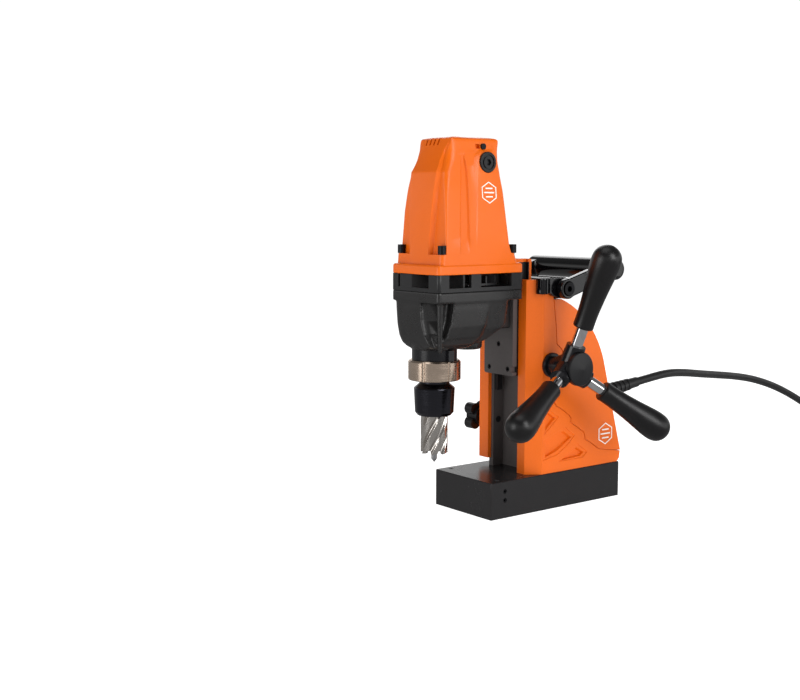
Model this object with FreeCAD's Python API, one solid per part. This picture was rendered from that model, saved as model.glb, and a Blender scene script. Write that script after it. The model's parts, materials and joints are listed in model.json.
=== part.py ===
"""Portable magnetic drill press with a core cutter, as an assembly of separate pieces.

Millimetres, +Z up. The origin is the centre of the magnet foot's underside. The cutter is on the
-Y side, the feed lever is on the +X side and the mains lead leaves at the back, towards +Y.
"""
import FreeCAD, Part
import math
import os

from FreeCAD import Vector

# ---------------------------------------------------------------- driving dimensions
FOOT_LENGTH, FOOT_WIDTH, FOOT_HEIGHT = 162.0, 78.0, 33.0
GUARD_HOLE_X, GUARD_HOLE_Y, GUARD_HOLE_R, GUARD_HOLE_DEPTH = 32.0, -68.0, 2.1, 14.0

STAND_HALF = 38.0            # half width over the side faces of the stand
STAND_FRONT = -32.5
STAND_TOP = 209.6
SEAM_GAP = 0.7               # joint line between casting and covers
COVER_WALL = 3.2

COLUMN_HALF, COLUMN_FRONT, COLUMN_TOP = 24.0, -28.4, 206.0
SLOT_HALF, SLOT_FLOOR = 18.6, -16.2
GIB_BOTTOM, GIB_TOP = 105.0, 204.0

SLIDE_HALF, SLIDE_BACK = 18.2, -16.6
PLATE_HALF, PLATE_FRONT, PLATE_BACK = 19.2, -39.5, -34.5
PLATE_BOTTOM, PLATE_TOP = 122.5, 224.8
CAP_THICKNESS = 3.0

FEED_Y, FEED_Z = -9.5, 132.5
FEED_SHAFT_R = 5.5
FEED_TEETH, FEED_MODULE = 15, 1.2
RUNNING_GAP = 0.05           # radial clearance of a shaft in its bush

SPOKE_ROOT_X = 60.0          # where the three spoke axes cross the feed axis
SPOKE_CONE = 19.2            # degrees that the spokes lean outwards
SPOKE_START_ANGLE = 84.0     # of the first spoke, from +Y towards +Z
SPOKE_R = 5.4
GRIP_START, GRIP_LENGTH = 38.6, 77.0

SPINDLE_Y = -114.0
ARMATURE_Y = -77.0
CUTTER_R, CUTTER_BOTTOM, CHUCK_BOTTOM = 11.95, 58.9, 93.0
CHUCK_TOP, RING_BOTTOM, RING_TOP, NOSE_TOP = 117.4, 124.2, 141.8, 151.2
CHUCK_R, RING_R, NOSE_R = 18.0, 23.0, 19.8
PILOT_R, PILOT_TIP = 2.5, 50.5

FLANGE_HALF, FLANGE_FRONT, FLANGE_BACK = 32.8, -136.2, -39.8
LIP_BOTTOM, VENT_BOTTOM, HOOD_BOTTOM, HOOD_TOP = 193.0, 202.0, 216.7, 334.0
SKIRT_TOP = 225.2

BRUSH_Z = 312.0
GEAR_MODULE = 0.8
ARMATURE_TEETH, IDLER_TEETH, IDLER_PINION_TEETH, SPINDLE_TEETH = 7, 42, 11, 35

HANDLE_Y, HANDLE_Z, HANDLE_EYE_R = 0.5, 201.3, 9.2
BRACKET_FRONT, BRACKET_SEAT = -13.8, 199.2
GRIP_BAR_Y, GRIP_BAR_Z, GRIP_BAR_R, GRIP_BAR_HALF = 55.5, 217.5, 10.0, 57.0
ARM_INNER, ARM_OUTER = 42.4, 49.0

KNOB_Y, KNOB_Z = -22.0, 76.6
PANEL_Y, PANEL_Z = 28.0, 106.0

CORD_D = 8.0
CORD_GRIP = 8.0               # length of lead held inside the strain relief
COIL_MID_R, COIL_ROWS, COIL_LAYERS = 48.0, 4, 3
COIL_CENTRE = (48.0, 578.0)
RELIEF_START, RELIEF_END, RELIEF_NECK_R = (20.0, 66.0, 96.4), (20.0, 124.0, 103.7), 6.0
# the free lead from the strain relief to the coil, point by point
CORD_ROUTE = [
    (20.0, 143.4, 106.14), (17.4, 173.0, 108.2), (11.4, 204.0, 105.6),
    (3.2, 240.0, 100.4), (-8.5, 282.0, 94.6), (-20.5, 330.0, 88.0), (-29.0, 378.0, 79.5),
    (-31.0, 424.0, 66.0), (-26.5, 464.0, 47.0), (-20.5, 496.0, 26.5), (-15.5, 521.0, 11.0),
    (-12.6, 545.0, 4.6), (-12.0, 565.0, 4.0), (-12.0, 578.0, 4.0),
]


# ---------------------------------------------------------------- small shape helpers
def box(x, y, z):
    """Block between the limits given for each axis."""
    return Part.makeBox(x[1] - x[0], y[1] - y[0], z[1] - z[0], Vector(x[0], y[0], z[0]))


def rod(start, end, radius):
    """Round bar from one point to another."""
    axis = Vector(*end) - Vector(*start)
    return Part.makeCylinder(radius, axis.Length, Vector(*start), axis)


def cone(start, end, start_radius, end_radius):
    axis = Vector(*end) - Vector(*start)
    return Part.makeCone(start_radius, end_radius, axis.Length, Vector(*start), axis)


def rod_x(y, z, radius, x):
    return rod((x[0], y, z), (x[1], y, z), radius)


def rod_z(x, y, radius, z):
    return rod((x, y, z[0]), (x, y, z[1]), radius)


def ring_z(x, y, outer, inner, z):
    return rod_z(x, y, outer, z).cut(rod_z(x, y, inner, (z[0] - 1, z[1] + 1)))


def prism(outline, thickness, place):
    """Flat outline, put in space by place(u, v, w), and given a thickness along w."""
    points = [place(u, v, thickness[0]) for u, v in outline]
    face = Part.Face(Part.makePolygon(points + points[:1]))
    return face.extrude(place(0, 0, thickness[1]) - place(0, 0, thickness[0]))


def prism_x(outline, x):
    return prism(outline, x, lambda u, v, w: Vector(w, u, v))


def prism_z(outline, z):
    return prism(outline, z, lambda u, v, w: Vector(u, v, w))


def edges_along(shape, axis):
    """Straight edges of a shape that run along a coordinate axis."""
    chosen = []
    for edge in shape.Edges:
        run = edge.valueAt(edge.LastParameter) - edge.valueAt(edge.FirstParameter)
        if run.Length > 1e-6 and abs(abs(run.dot(axis)) - run.Length) < 1e-6:
            chosen.append(edge)
    return chosen


def rounded_block(x, y, z, radius):
    """Block whose four upright edges are rounded."""
    block = box(x, y, z)
    return block.makeFillet(radius, edges_along(block, Vector(0, 0, 1)))


def rounded_wire(half, y, z, radius):
    """Rounded rectangle at height z, as eight edges starting at the same corner each time."""
    corners = [(half - radius, y[0] + radius, -90), (half - radius, y[1] - radius, 0),
               (-half + radius, y[1] - radius, 90), (-half + radius, y[0] + radius, 180)]
    arcs = []
    for cx, cy, start in corners:
        pts = [Vector(cx + radius * math.cos(math.radians(start + turn)),
                      cy + radius * math.sin(math.radians(start + turn)), z) for turn in (0, 45, 90)]
        arcs.append(pts)
    edges = []
    for here, after in zip(arcs, arcs[1:] + arcs[:1]):
        edges.append(Part.Arc(*here).toShape())
        edges.append(Part.LineSegment(here[2], after[0]).toShape())
    return Part.Wire(edges)


def tower(sections):
    """Straight-sided loft through rounded rectangles: (z, half width, front, back, radius)."""
    wires = [rounded_wire(half, (front, back), z, radius) for z, half, front, back, radius in sections]
    return Part.makeLoft(wires, True, True)


def revolve_z(profile, x, y):
    """Solid turned about an upright axis from (radius, z) points."""
    points = [Vector(x + r, y, z) for r, z in profile]
    face = Part.Face(Part.makePolygon(points + points[:1]))
    return face.revolve(Vector(x, y, 0), Vector(0, 0, 1), 360)


def revolve_x(profile, y, z):
    """Solid turned about an axis along X from (x, radius) points."""
    points = [Vector(x, y, z + r) for x, r in profile]
    face = Part.Face(Part.makePolygon(points + points[:1]))
    return face.revolve(Vector(0, y, z), Vector(1, 0, 0), 360)


def mirrored(shape):
    """The same shape on the other side of the X = 0 plane."""
    return shape.mirror(Vector(0, 0, 0), Vector(1, 0, 0))


def both_sides(shape):
    return Part.makeCompound([shape, mirrored(shape)])


def cut_all(shape, tools):
    for tool in tools:
        shape = shape.cut(tool)
    return shape


def fuse_all(shapes):
    """One solid from shapes that touch or overlap."""
    whole = shapes[0]
    for shape in shapes[1:]:
        whole = whole.fuse(shape)
    return whole.removeSplitter()


def gear_outline(teeth, module, phase, slack):
    """Straight-flanked gear tooth outline as (u, v) points; phase is the angle of a tooth."""
    pitch_r = teeth * module / 2
    half_pitch = math.pi * module / 4 - slack
    levels = ((-1.25, 0.46), (1.0, -0.36))
    points = []
    for tooth in range(teeth):
        middle = phase + 2 * math.pi * tooth / teeth
        for side, order in ((-1, levels), (1, levels[::-1])):
            for height, widening in order:
                radius = pitch_r + height * module
                half = min((half_pitch + widening * module) / radius, 0.94 * math.pi / teeth)
                angle = middle + side * half
                points.append((radius * math.cos(angle), radius * math.sin(angle)))
    return points


def gear_z(x, y, teeth, phase, z, slack=0.16):
    outline = gear_outline(teeth, GEAR_MODULE, phase, slack)
    return prism_z([(x + u, y + v) for u, v in outline], z)


# ---------------------------------------------------------------- magnet foot
def foot_groove(margin, z):
    outer = rounded_block((-29 + margin, 29 - margin), (-71 + margin, 71 - margin), z, 12)
    inner = rounded_block((-13 - margin, 13 + margin), (-55 - margin, 55 + margin),
                          (z[0] - 1, z[1] + 1), 6)
    return outer.cut(inner)


FOOT_SCREW_X, FOOT_SCREW_Y, FOOT_SCREW_R = 35.0, -64.7, 2.2


def magnet_foot():
    body = rounded_block((-FOOT_WIDTH / 2, FOOT_WIDTH / 2), (-FOOT_LENGTH / 2, FOOT_LENGTH / 2),
                         (0, FOOT_HEIGHT), 1.0)
    top_edges = [edge for edge in body.Edges if edge.BoundBox.ZMin > FOOT_HEIGHT - 0.01]
    body = body.makeChamfer(0.6, top_edges)
    body = body.cut(foot_groove(0, (-1, 24)))
    for side in (-1, 1):
        body = body.cut(rod_z(side * GUARD_HOLE_X, GUARD_HOLE_Y, GUARD_HOLE_R,
                              (FOOT_HEIGHT - GUARD_HOLE_DEPTH, FOOT_HEIGHT + 1)))
    for z in (16.0, 24.1):
        body = body.cut(rod_x(FOOT_SCREW_Y, z, FOOT_SCREW_R, (FOOT_SCREW_X, 40)))
    return body


def hex_socket_x(y, z, across, x):
    points = [(y + across * math.cos(math.radians(60 * k)), z + across * math.sin(math.radians(60 * k)))
              for k in range(6)]
    return prism_x(points, x)


def foot_screws():
    screws = []
    for z in (16.0, 24.1):
        screw = rod_x(FOOT_SCREW_Y, z, FOOT_SCREW_R, (FOOT_SCREW_X, 38.4))
        screws.append(screw.cut(hex_socket_x(FOOT_SCREW_Y, z, 1.2, (37.2, 39))))
    return Part.makeCompound(screws)


# ---------------------------------------------------------------- guide column
def window_box():
    return box((-8, 8), (SLOT_FLOOR - 1, 1), (FEED_Z - 11.6, FEED_Z + 11.6))


def column():
    body = box((-COLUMN_HALF, COLUMN_HALF), (COLUMN_FRONT, 0), (FOOT_HEIGHT, COLUMN_TOP))
    slot = box((-SLOT_HALF, SLOT_HALF), (COLUMN_FRONT - 1, SLOT_FLOOR), (FOOT_HEIGHT - 1, COLUMN_TOP + 1))
    shaft_bore = rod_x(FEED_Y, FEED_Z, FEED_SHAFT_R + 0.1, (-25, 25))
    screw_bore = rod_x(KNOB_Y, KNOB_Z, 3.0 + RUNNING_GAP, (-25, -18))
    bracket_seat = box((-25, 25), (BRACKET_FRONT, 1), (BRACKET_SEAT, COLUMN_TOP + 1))
    return cut_all(body, [slot, window_box(), shaft_bore, screw_bore, bracket_seat])


def gibs():
    strip = box((15.2, SLOT_HALF), (-26.6, -20.8), (GIB_BOTTOM, GIB_TOP))
    return both_sides(strip)


# ---------------------------------------------------------------- orange casting and covers
# joint line between the casting and the covers, seen from the side, from the top down
SEAM = [(-7.6, 199.2), (-7.3, 190.7), (-4.4, 168.5), (-2.9, 151.0), (3.0, 146.0), (6.2, 139.0),
        (6.8, 131.0), (4.0, 122.0), (-2.0, 115.5), (-5.5, 111.0), (-5.5, 98.6), (-3.2, 94.5),
        (5.4, 89.7), (14.1, 83.8), (16.4, 81.0), (16.2, 76.8), (24.5, 71.9), (33.2, 66.3),
        (34.8, 62.5), (35.1, 59.3), (44.1, 54.2), (53.1, 48.2), (67.1, 45.4), (83.0, 43.0)]
BACK_TOP, BACK_BEND, BACK_LOW = (2.0, 191.6), (38.0, 167.0), (58.5, 131.5)

# recesses in the side of the casting, seen from the side
POCKETS = [
    [(-15.5, 72.0), (-15.5, 91.5), (-1.9, 83.5)],
    [(-15.5, 47.5), (-15.5, 63.3), (7.9, 70.8), (19.1, 63.6), (8.5, 56.5), (0.2, 52.0)],
    [(5.0, 43.0), (25.3, 53.4), (35.4, 47.1), (30.5, 43.8)],
]


def offset_outline(outline, distance):
    """Move each corner of a small convex outline away from its middle."""
    mid_u = sum(u for u, v in outline) / len(outline)
    mid_v = sum(v for u, v in outline) / len(outline)
    moved = []
    for u, v in outline:
        reach = math.hypot(u - mid_u, v - mid_v)
        scale = (reach + distance) / reach
        moved.append((mid_u + (u - mid_u) * scale, mid_v + (v - mid_v) * scale))
    return moved


def tapered_pocket(outline, mouth_x, floor_x, taper):
    """Recess whose walls lean in from the mouth to the floor."""
    def wire(points, x):
        vectors = [Vector(x, u, v) for u, v in points]
        return Part.makePolygon(vectors + vectors[:1])
    return Part.makeLoft([wire(outline, mouth_x), wire(offset_outline(outline, -taper), floor_x)],
                         True, True)


def corner_chamfers():
    """Wedges that take the stand's two front corners back."""
    right = prism_z([(28.0, STAND_FRONT - 1), (39.0, STAND_FRONT - 1), (39.0, -18.2)], (30, 215))
    left = prism_z([(-33.3, STAND_FRONT - 1), (-39.0, STAND_FRONT - 1), (-39.0, -21.0)], (30, 215))
    return [right, left]


def stand_casting():
    outline = [(STAND_FRONT, FOOT_HEIGHT), (STAND_FRONT, STAND_TOP), (-23.8, STAND_TOP), (-23.8, 199.2)]
    outline += SEAM + [(82.0, 36.0), (79.0, FOOT_HEIGHT)]
    body = prism_x(outline, (-STAND_HALF, STAND_HALF))
    body = cut_all(body, corner_chamfers())
    column_space = box((-COLUMN_HALF, COLUMN_HALF), (COLUMN_FRONT, 0), (30, 215))
    front_opening = box((-21.4, 18.9), (STAND_FRONT - 1, COLUMN_FRONT + 1), (30, 215))
    hollow = prism_x([(0, 38), (76, 38), (72, 46), (50, 50), (26, 76), (10, 92), (2, 130), (0, 215)],
                     (-33, 33))
    hollow_top = prism_x([(-1, 140), (-1, 198), (-3, 198), (-3, 205), (8, 205), (8, 140)], (-33, 33))
    bushes = rod_x(FEED_Y, FEED_Z, 9.0, (-40, 40))
    knob_bore = rod_x(KNOB_Y, KNOB_Z, 3.0 + RUNNING_GAP, (-40, -20))
    left_relief = box((-40, -21), (-34, -8), (30, 40.5))
    body = cut_all(body, [column_space, front_opening, hollow, hollow_top, bushes, knob_bore, left_relief])
    for outline in POCKETS:
        for side in (-1, 1):
            mouth = side * (STAND_HALF + 0.5)
            rim = tapered_pocket(offset_outline(outline, 3.4), mouth, side * (STAND_HALF - 0.7), 0.4)
            recess = tapered_pocket(outline, mouth, side * (STAND_HALF - 3.2), 2.2)
            body = cut_all(body, [rim, recess])
    return keep_largest(body)


def keep_largest(shape):
    return max(shape.Solids, key=lambda solid: solid.Volume)


def cover_face(seam_shift, back_inset):
    """Side view of the cover: the seam in front and below, the curved back behind."""
    seam = [(y + seam_shift, z + 0.5 * seam_shift) for y, z in SEAM[1:]]
    low_back = (83.2 - back_inset, 43.4 + 0.5 * seam_shift)
    top = (BACK_TOP[0] - 0.3 * back_inset, BACK_TOP[1] - back_inset)
    bend = (BACK_BEND[0] - 0.75 * back_inset, BACK_BEND[1] - 0.66 * back_inset)
    low = (BACK_LOW[0] - 0.95 * back_inset, BACK_LOW[1] - 0.3 * back_inset)
    place = lambda point: Vector(0, point[0], point[1])
    start = (seam[0][0], top[1])
    edges = [Part.makePolygon([place(start)] + [place(p) for p in seam[1:-1]] + [place(low_back)])]
    edges.append(Part.LineSegment(place(low_back), place(low)).toShape())
    edges.append(Part.Arc(place(low), place(bend), place(top)).toShape())
    edges.append(Part.LineSegment(place(top), place(start)).toShape())
    flat = []
    for piece in edges:
        flat += piece.Edges
    return Part.Face(Part.Wire(flat))


def inner_cover_space(x):
    """Room inside the covers, open towards the casting."""
    outline = [(-20, 30), (-20, BACK_TOP[1] - COVER_WALL), (2, BACK_TOP[1] - COVER_WALL), (20, 180.0),
               (35.2, 165.5), (47.5, 148.0), (55.0, 130.0), (79.4, 43.0), (79.4, 30)]
    return prism_x(outline, x)


def cover_block(side):
    """Cover before it is hollowed: it meets the casting all over but for a shallow joint line."""
    seated = cover_face(0.0, 0).extrude(Vector(side * (STAND_HALF - 1.2), 0, 0))
    outer = cover_face(SEAM_GAP, 0).extrude(Vector(side * STAND_HALF, 0, 0))
    return seated.fuse(outer)


def right_cover():
    relief_start, relief_axis = relief_line()
    body = cut_all(cover_block(1), [
        inner_cover_space((-1, STAND_HALF - COVER_WALL)),
        box((-1, COLUMN_HALF), (-30, 0), (30, 215)),
        Part.makeCylinder(RELIEF_NECK_R, 30, relief_start - relief_axis * 5, relief_axis)])
    return keep_largest(body)


def left_cover():
    body = cut_all(cover_block(-1), [
        inner_cover_space((-STAND_HALF + COVER_WALL, 1)),
        box((-COLUMN_HALF, 1), (-30, 0), (30, 215)), panel_hole()])
    for y, z in COVER_SCREWS:
        body = body.cut(rod_x(y, z, 2.6, (-STAND_HALF - 1, -30)))
    return keep_largest(body)


COVER_SCREWS = [(7.0, 180.0), (44.0, 142.0), (70.0, 60.0)]


def cover_screws():
    screws = []
    for y, z in COVER_SCREWS:
        screw = rod_x(y, z, 2.6, (-STAND_HALF, -33))
        screws.append(screw.cut(hex_socket_x(y, z, 1.4, (-STAND_HALF - 1, -STAND_HALF + 1.5))))
    return Part.makeCompound(screws)


def control_module():
    outline = [(10, 100), (44, 100), (44, 120), (30, 150), (10, 150)]
    return prism_x(outline, (-12, STAND_HALF - COVER_WALL))


# ---------------------------------------------------------------- control panel, left side
PANEL_X = -STAND_HALF - 1.6
BUTTON_GAP = 0.35


def panel_hole():
    return box((-STAND_HALF - 5, -30), (PANEL_Y - 9, PANEL_Y + 9), (PANEL_Z - 25, PANEL_Z + 25))


def button_bore(z, radius):
    return rod_x(PANEL_Y, z, radius, (-STAND_HALF - 6, -20))


ROCKER_Z, START_Z, STOP_Z, BUTTON_R = PANEL_Z + 14, PANEL_Z - 2, PANEL_Z - 16, 5.6


ROCKER_AXLE_X, ROCKER_AXLE_R = -35.5, 1.5


def rocker_axle(radius, half_length):
    ends = [(ROCKER_AXLE_X, PANEL_Y + end, ROCKER_Z) for end in (-half_length, half_length)]
    return rod(ends[0], ends[1], radius)


def switch_panel():
    face = box((PANEL_X, -STAND_HALF), (PANEL_Y - 12, PANEL_Y + 12), (PANEL_Z - 28, PANEL_Z + 28))
    face = face.makeFillet(3.0, edges_along(face, Vector(1, 0, 0)))
    body = box((-STAND_HALF, -26), (PANEL_Y - 8.8, PANEL_Y + 8.8), (PANEL_Z - 24.8, PANEL_Z + 24.8))
    rocker_space = box((-45, -29), (PANEL_Y - 7.2, PANEL_Y + 7.2), (ROCKER_Z - 8.2, ROCKER_Z + 8.2))
    whole = face.fuse(body).cut(rocker_axle(ROCKER_AXLE_R + RUNNING_GAP, 8.1))
    return cut_all(whole, [rocker_space, rod_x(PANEL_Y, START_Z, BUTTON_R + BUTTON_GAP, (-45, -29)),
                           rod_x(PANEL_Y, STOP_Z, BUTTON_R + BUTTON_GAP, (-45, -29))])


def magnet_rocker():
    """Rocker switch that tips about an axis along Y."""
    outline = [(-42.0, -7.4), (-39.8, 0.0), (-40.4, 7.4), (-35.5, 6.4), (-33.0, 0.0), (-35.5, -6.4)]
    points = [(x, ROCKER_Z + v) for x, v in outline]
    place = lambda u, v, w: Vector(u, w, v)
    return prism(points, (PANEL_Y - 6.7, PANEL_Y + 6.7), place).fuse(rocker_axle(ROCKER_AXLE_R, 7.9))


def press_button(z, proud):
    body = rod_x(PANEL_Y, z, BUTTON_R, (PANEL_X - proud, -32.5))
    rim = [edge for edge in body.Edges if edge.BoundBox.XMax < PANEL_X - proud + 0.01]
    return body.makeFillet(0.8, rim)


# ---------------------------------------------------------------- carriage
PLATE_SCREWS = [(0.0, 150.4), (-12.4, 128.4), (12.4, 128.4), (0.0, 196.0), (-12.4, 216.0), (12.4, 216.0)]


def plate_screw(x, z):
    return rod((x, PLATE_FRONT + 0.4, z), (x, -28.0, z), 2.4)


def carriage_plate():
    body = box((-PLATE_HALF, PLATE_HALF), (PLATE_FRONT, PLATE_BACK), (PLATE_BOTTOM, PLATE_TOP))
    corners = [edge for edge in edges_along(body, Vector(0, 1, 0)) if edge.BoundBox.ZMax < PLATE_BOTTOM + 1]
    body = body.makeFillet(2.0, corners)
    body = body.cut(box((PLATE_HALF - 2.4, PLATE_HALF + 1), (PLATE_FRONT - 1, PLATE_BACK + 1), (125.6, 131.2)))
    for x, z in PLATE_SCREWS:
        body = body.cut(rod((x, PLATE_FRONT - 1, z), (x, -27.0, z), 2.4))
    return body


def plate_screws():
    screws = []
    for x, z in PLATE_SCREWS:
        place = lambda u, v, w: Vector(x + u, w, z + v)
        hexagon = [(1.3 * math.cos(math.radians(60 * k)), 1.3 * math.sin(math.radians(60 * k)))
                   for k in range(6)]
        socket = prism(hexagon, (PLATE_FRONT, PLATE_FRONT + 2.0), place)
        screws.append(plate_screw(x, z).cut(socket))
    return Part.makeCompound(screws)


def rack_channel():
    return box((-7.2, 7.2), (-24.2, SLIDE_BACK + 1), (120, 230))


def gib_grooves():
    """Grooves that let the carriage pass the gibs."""
    groove = box((15.0, 19.0), (-26.8, -20.6), (120, 230))
    return [groove, mirrored(groove)]


def slide_block():
    body = box((-SLIDE_HALF, SLIDE_HALF), (PLATE_BACK, SLIDE_BACK), (PLATE_BOTTOM, PLATE_TOP))
    cap_seat = box((-19, 19), (SLIDE_BACK - CAP_THICKNESS, SLIDE_BACK + 1), (196, 230))
    body = cut_all(body, [rack_channel(), cap_seat] + gib_grooves())
    for x, z in PLATE_SCREWS:
        body = body.cut(plate_screw(x, z))
    return body


def rack():
    """Toothed bar on the back of the slide, in mesh with the feed pinion."""
    pitch = math.pi * FEED_MODULE
    pitch_y = FEED_Y - FEED_TEETH * FEED_MODULE / 2
    root_y, tip_y = pitch_y - 1.25 * FEED_MODULE, pitch_y + FEED_MODULE
    half_root, half_tip = pitch / 4 + 0.3, pitch / 4 - 0.75
    low, high = PLATE_BOTTOM, PLATE_TOP - 0.3
    points = [(-24.2, low), (root_y, low)]
    first = math.ceil((low + half_root - FEED_Z) / pitch)
    last = math.floor((high - half_root - FEED_Z) / pitch)
    for tooth in range(first, last + 1):
        z = FEED_Z + tooth * pitch
        points += [(root_y, z - half_root), (tip_y, z - half_tip), (tip_y, z + half_tip),
                   (root_y, z + half_root)]
    points += [(root_y, high), (-24.2, high)]
    return prism_x(points, (-7.0, 7.0))


def slide_cap():
    """Orange angle piece that covers the top and the upper back of the slide."""
    top = box((-SLIDE_HALF, SLIDE_HALF), (FLANGE_BACK + 0.3, SLIDE_BACK), (PLATE_TOP, PLATE_TOP + CAP_THICKNESS))
    back = box((-SLIDE_HALF, SLIDE_HALF), (SLIDE_BACK - CAP_THICKNESS, SLIDE_BACK), (196, PLATE_TOP + 1))
    whole = top.fuse(back).removeSplitter()
    outer = [edge for edge in edges_along(whole, Vector(1, 0, 0))
             if edge.BoundBox.ZMin > PLATE_TOP + CAP_THICKNESS - 0.01 and edge.BoundBox.YMin > SLIDE_BACK - 0.01]
    whole = whole.makeFillet(1.5, outer)
    return cut_all(whole, [box((-7.4, 7.4), (-20.8, SLIDE_BACK + 1), (190, 230))] + gib_grooves())


# ---------------------------------------------------------------- gearbox
def gearbox_housing():
    lip = rounded_block((-FLANGE_HALF, FLANGE_HALF), (FLANGE_FRONT, FLANGE_BACK), (LIP_BOTTOM, VENT_BOTTOM), 3.0)
    shell = tower([(NOSE_TOP + 0.3, 18.5, -129.0, -70.0, 11.0), (154.0, 22.6, -131.2, -62.0, 11.0),
                   (158.5, 25.8, -132.9, -57.0, 10.0), (168.0, 29.6, -134.4, -53.0, 9.5),
                   (LIP_BOTTOM, 32.6, -135.9, -52.5, 9.0)])
    below = prism_x([(-112, 140), (-112, NOSE_TOP + 0.3), (-86.3, 155.4), (-76.4, 159.0), (-58.5, 170.8), (-52.0, 177.5),
                     (-40, 178.0), (-40, 140)], (-40, 40))
    shell = shell.cut(below)
    nose_boss = rod_z(0, SPINDLE_Y, 20.3, (NOSE_TOP, 166))
    rear_boss = rod_z(0, ARMATURE_Y, 13.4, (148.6, 178))
    rear_boss = rear_boss.makeFillet(3.0, [e for e in rear_boss.Edges if e.BoundBox.ZMax < 149])
    pad = box((-16, 16), (-58, PLATE_FRONT), (166, VENT_BOTTOM))
    body = fuse_all([lip, shell, nose_boss, rear_boss, pad])
    pocket = Part.makeLoft([pocket_section(LIP_BOTTOM - 0.3, 7.7, 117.4), pocket_section(177.0, 9.0, 119.4),
                            pocket_section(165.5, 12.4, 123.3), pocket_section(155.0, 20.5, 130.0)], True, True)
    boss = cone((27.4, -129.6, 150), (27.4, -129.6, LIP_BOTTOM + 1), 2.6, 4.4)
    rib = prism_z([(21.6, -135.0), (24.0, -135.0), (24.0, -117.0), (21.6, -117.0)], (150, LIP_BOTTOM + 1))
    pocket = cut_all(pocket, [boss, rib])
    relief = tapered_pocket([(-106.2, 173.6), (-81.4, 173.7), (-92.3, 184.9)], 33.5, 29.6, 1.0)
    cavity = gear_chamber((163, 210), (178.5, 210))
    bores = [rod_z(0, SPINDLE_Y, 16.0, (140, 160)), rod_z(0, SPINDLE_Y, 12.0, (159, 170))]
    idler = idler_centre()
    bores.append(rod_z(idler[0], idler[1], 4.0, (159, 170)))
    body = cut_all(body, [pocket, relief, cavity] + bores)
    for x, y in FLANGE_SCREWS:
        body = body.cut(rod_z(x, y, 2.0, (196, 210)))
    return keep_largest(body)


def gear_chamber(low, high):
    """Space for the gears: a low part around the spindle and a higher one around the armature."""
    left = box((-25.5, 0), (-129.6, -86), low)
    right = box((0, 25.5), (-115.6, -86), low)
    around_spindle = rod_z(0, SPINDLE_Y, 15.4, low)
    return fuse_all([left, right, around_spindle, box((-25.5, 25.5), (-96, -55), high)])


def pocket_section(z, inner_x, outer_y):
    """Triangle that opens the front right corner of the gearbox at one height."""
    points = [Vector(inner_x, -140, z), Vector(inner_x, -134.2, z), Vector(inner_x + 9, -outer_y - 3, z),
              Vector(40, -outer_y, z), Vector(40, -140, z)]
    return Part.makePolygon(points + points[:1])


def idler_centre():
    """Centre of the intermediate gear, from the two centre distances."""
    to_armature = GEAR_MODULE * (ARMATURE_TEETH + IDLER_TEETH) / 2
    to_spindle = GEAR_MODULE * (IDLER_PINION_TEETH + SPINDLE_TEETH) / 2
    between = ARMATURE_Y - SPINDLE_Y
    along = (to_armature ** 2 - to_spindle ** 2 + between ** 2) / (2 * between)
    return (math.sqrt(to_armature ** 2 - along ** 2), ARMATURE_Y - along)


def bearing_plate():
    body = gear_chamber((184.0, 188.0), (184.0, 188.0))
    idler = idler_centre()
    return cut_all(body, [rod_z(0, SPINDLE_Y, 9.0, (180, 190)), rod_z(idler[0], idler[1], 3.5, (180, 190)),
                          rod_z(0, ARMATURE_Y, 6.0, (180, 190))])


def spindle_nose():
    """Fixed black sleeve under the gearbox with the catch for the lock ring."""
    sleeve = ring_z(0, SPINDLE_Y, NOSE_R, 9.5, (RING_TOP + 0.3, NOSE_TOP))
    catch = box((17.5, 23.0), (SPINDLE_Y - 2.6, SPINDLE_Y + 3.4), (RING_TOP + 0.3, NOSE_TOP))
    return fuse_all([sleeve, catch.cut(rod_z(0, SPINDLE_Y, 9.5, (130, 150)))])


def vent_ring():
    body = rounded_block((-FLANGE_HALF, FLANGE_HALF), (FLANGE_FRONT, FLANGE_BACK), (VENT_BOTTOM, HOOD_BOTTOM), 3.0)
    inside = rounded_block((-29.4, 29.4), (FLANGE_FRONT + 3, FLANGE_BACK - 3), (204.6, HOOD_BOTTOM + 1), 3.0)
    tall = (205.4, HOOD_BOTTOM + 1)
    windows = [box((x0, x0 + 8), y, tall) for x0 in (-37.0, 29.0) for y in ((-124.4, -100.0), (-89.0, -54.0))]
    windows += [box(x, (-138.0, -132.4), tall) for x in ((-23.2, -20.6), (-3.8, 19.4))]
    windows += [box(x, (-43.6, -38.0), tall) for x in ((-20.0, -3.0), (3.0, 20.0))]
    posts = [rod_z(x, y, 3.8, (VENT_BOTTOM, HOOD_BOTTOM)) for x, y in FLANGE_SCREWS]
    divider = box((-29.6, 29.6), (-106.6, -104.6), (204, HOOD_BOTTOM))
    stay = box((-5.6, -3.8), (-133.6, -105.0), (204, HOOD_BOTTOM))
    body = fuse_all([cut_all(body, [inside] + windows), divider, stay] + posts)
    bores = [rod_z(0, ARMATURE_Y, 9.0, (199, 206))] + [rod_z(x, y, 2.0, (200, 220)) for x, y in FLANGE_SCREWS]
    return cut_all(body, bores)


# ---------------------------------------------------------------- motor
FLANGE_SCREWS = [(28.0, -128.6), (-28.0, -128.6), (28.0, -49.2), (-28.0, -49.2)]
# hood sections: height, half width, front, back, corner radius
HOOD_SECTIONS = [(SKIRT_TOP, 32.0, -132.2, -45.0, 4.0), (240.0, 31.3, -131.4, -50.0, 4.0),
                 (270.0, 29.3, -130.5, -54.0, 4.0), (302.0, 25.4, -126.8, -58.0, 4.0),
                 (322.0, 22.4, -117.0, -61.5, 4.0), (HOOD_TOP, 20.6, -111.2, -64.0, 3.6)]


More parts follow.
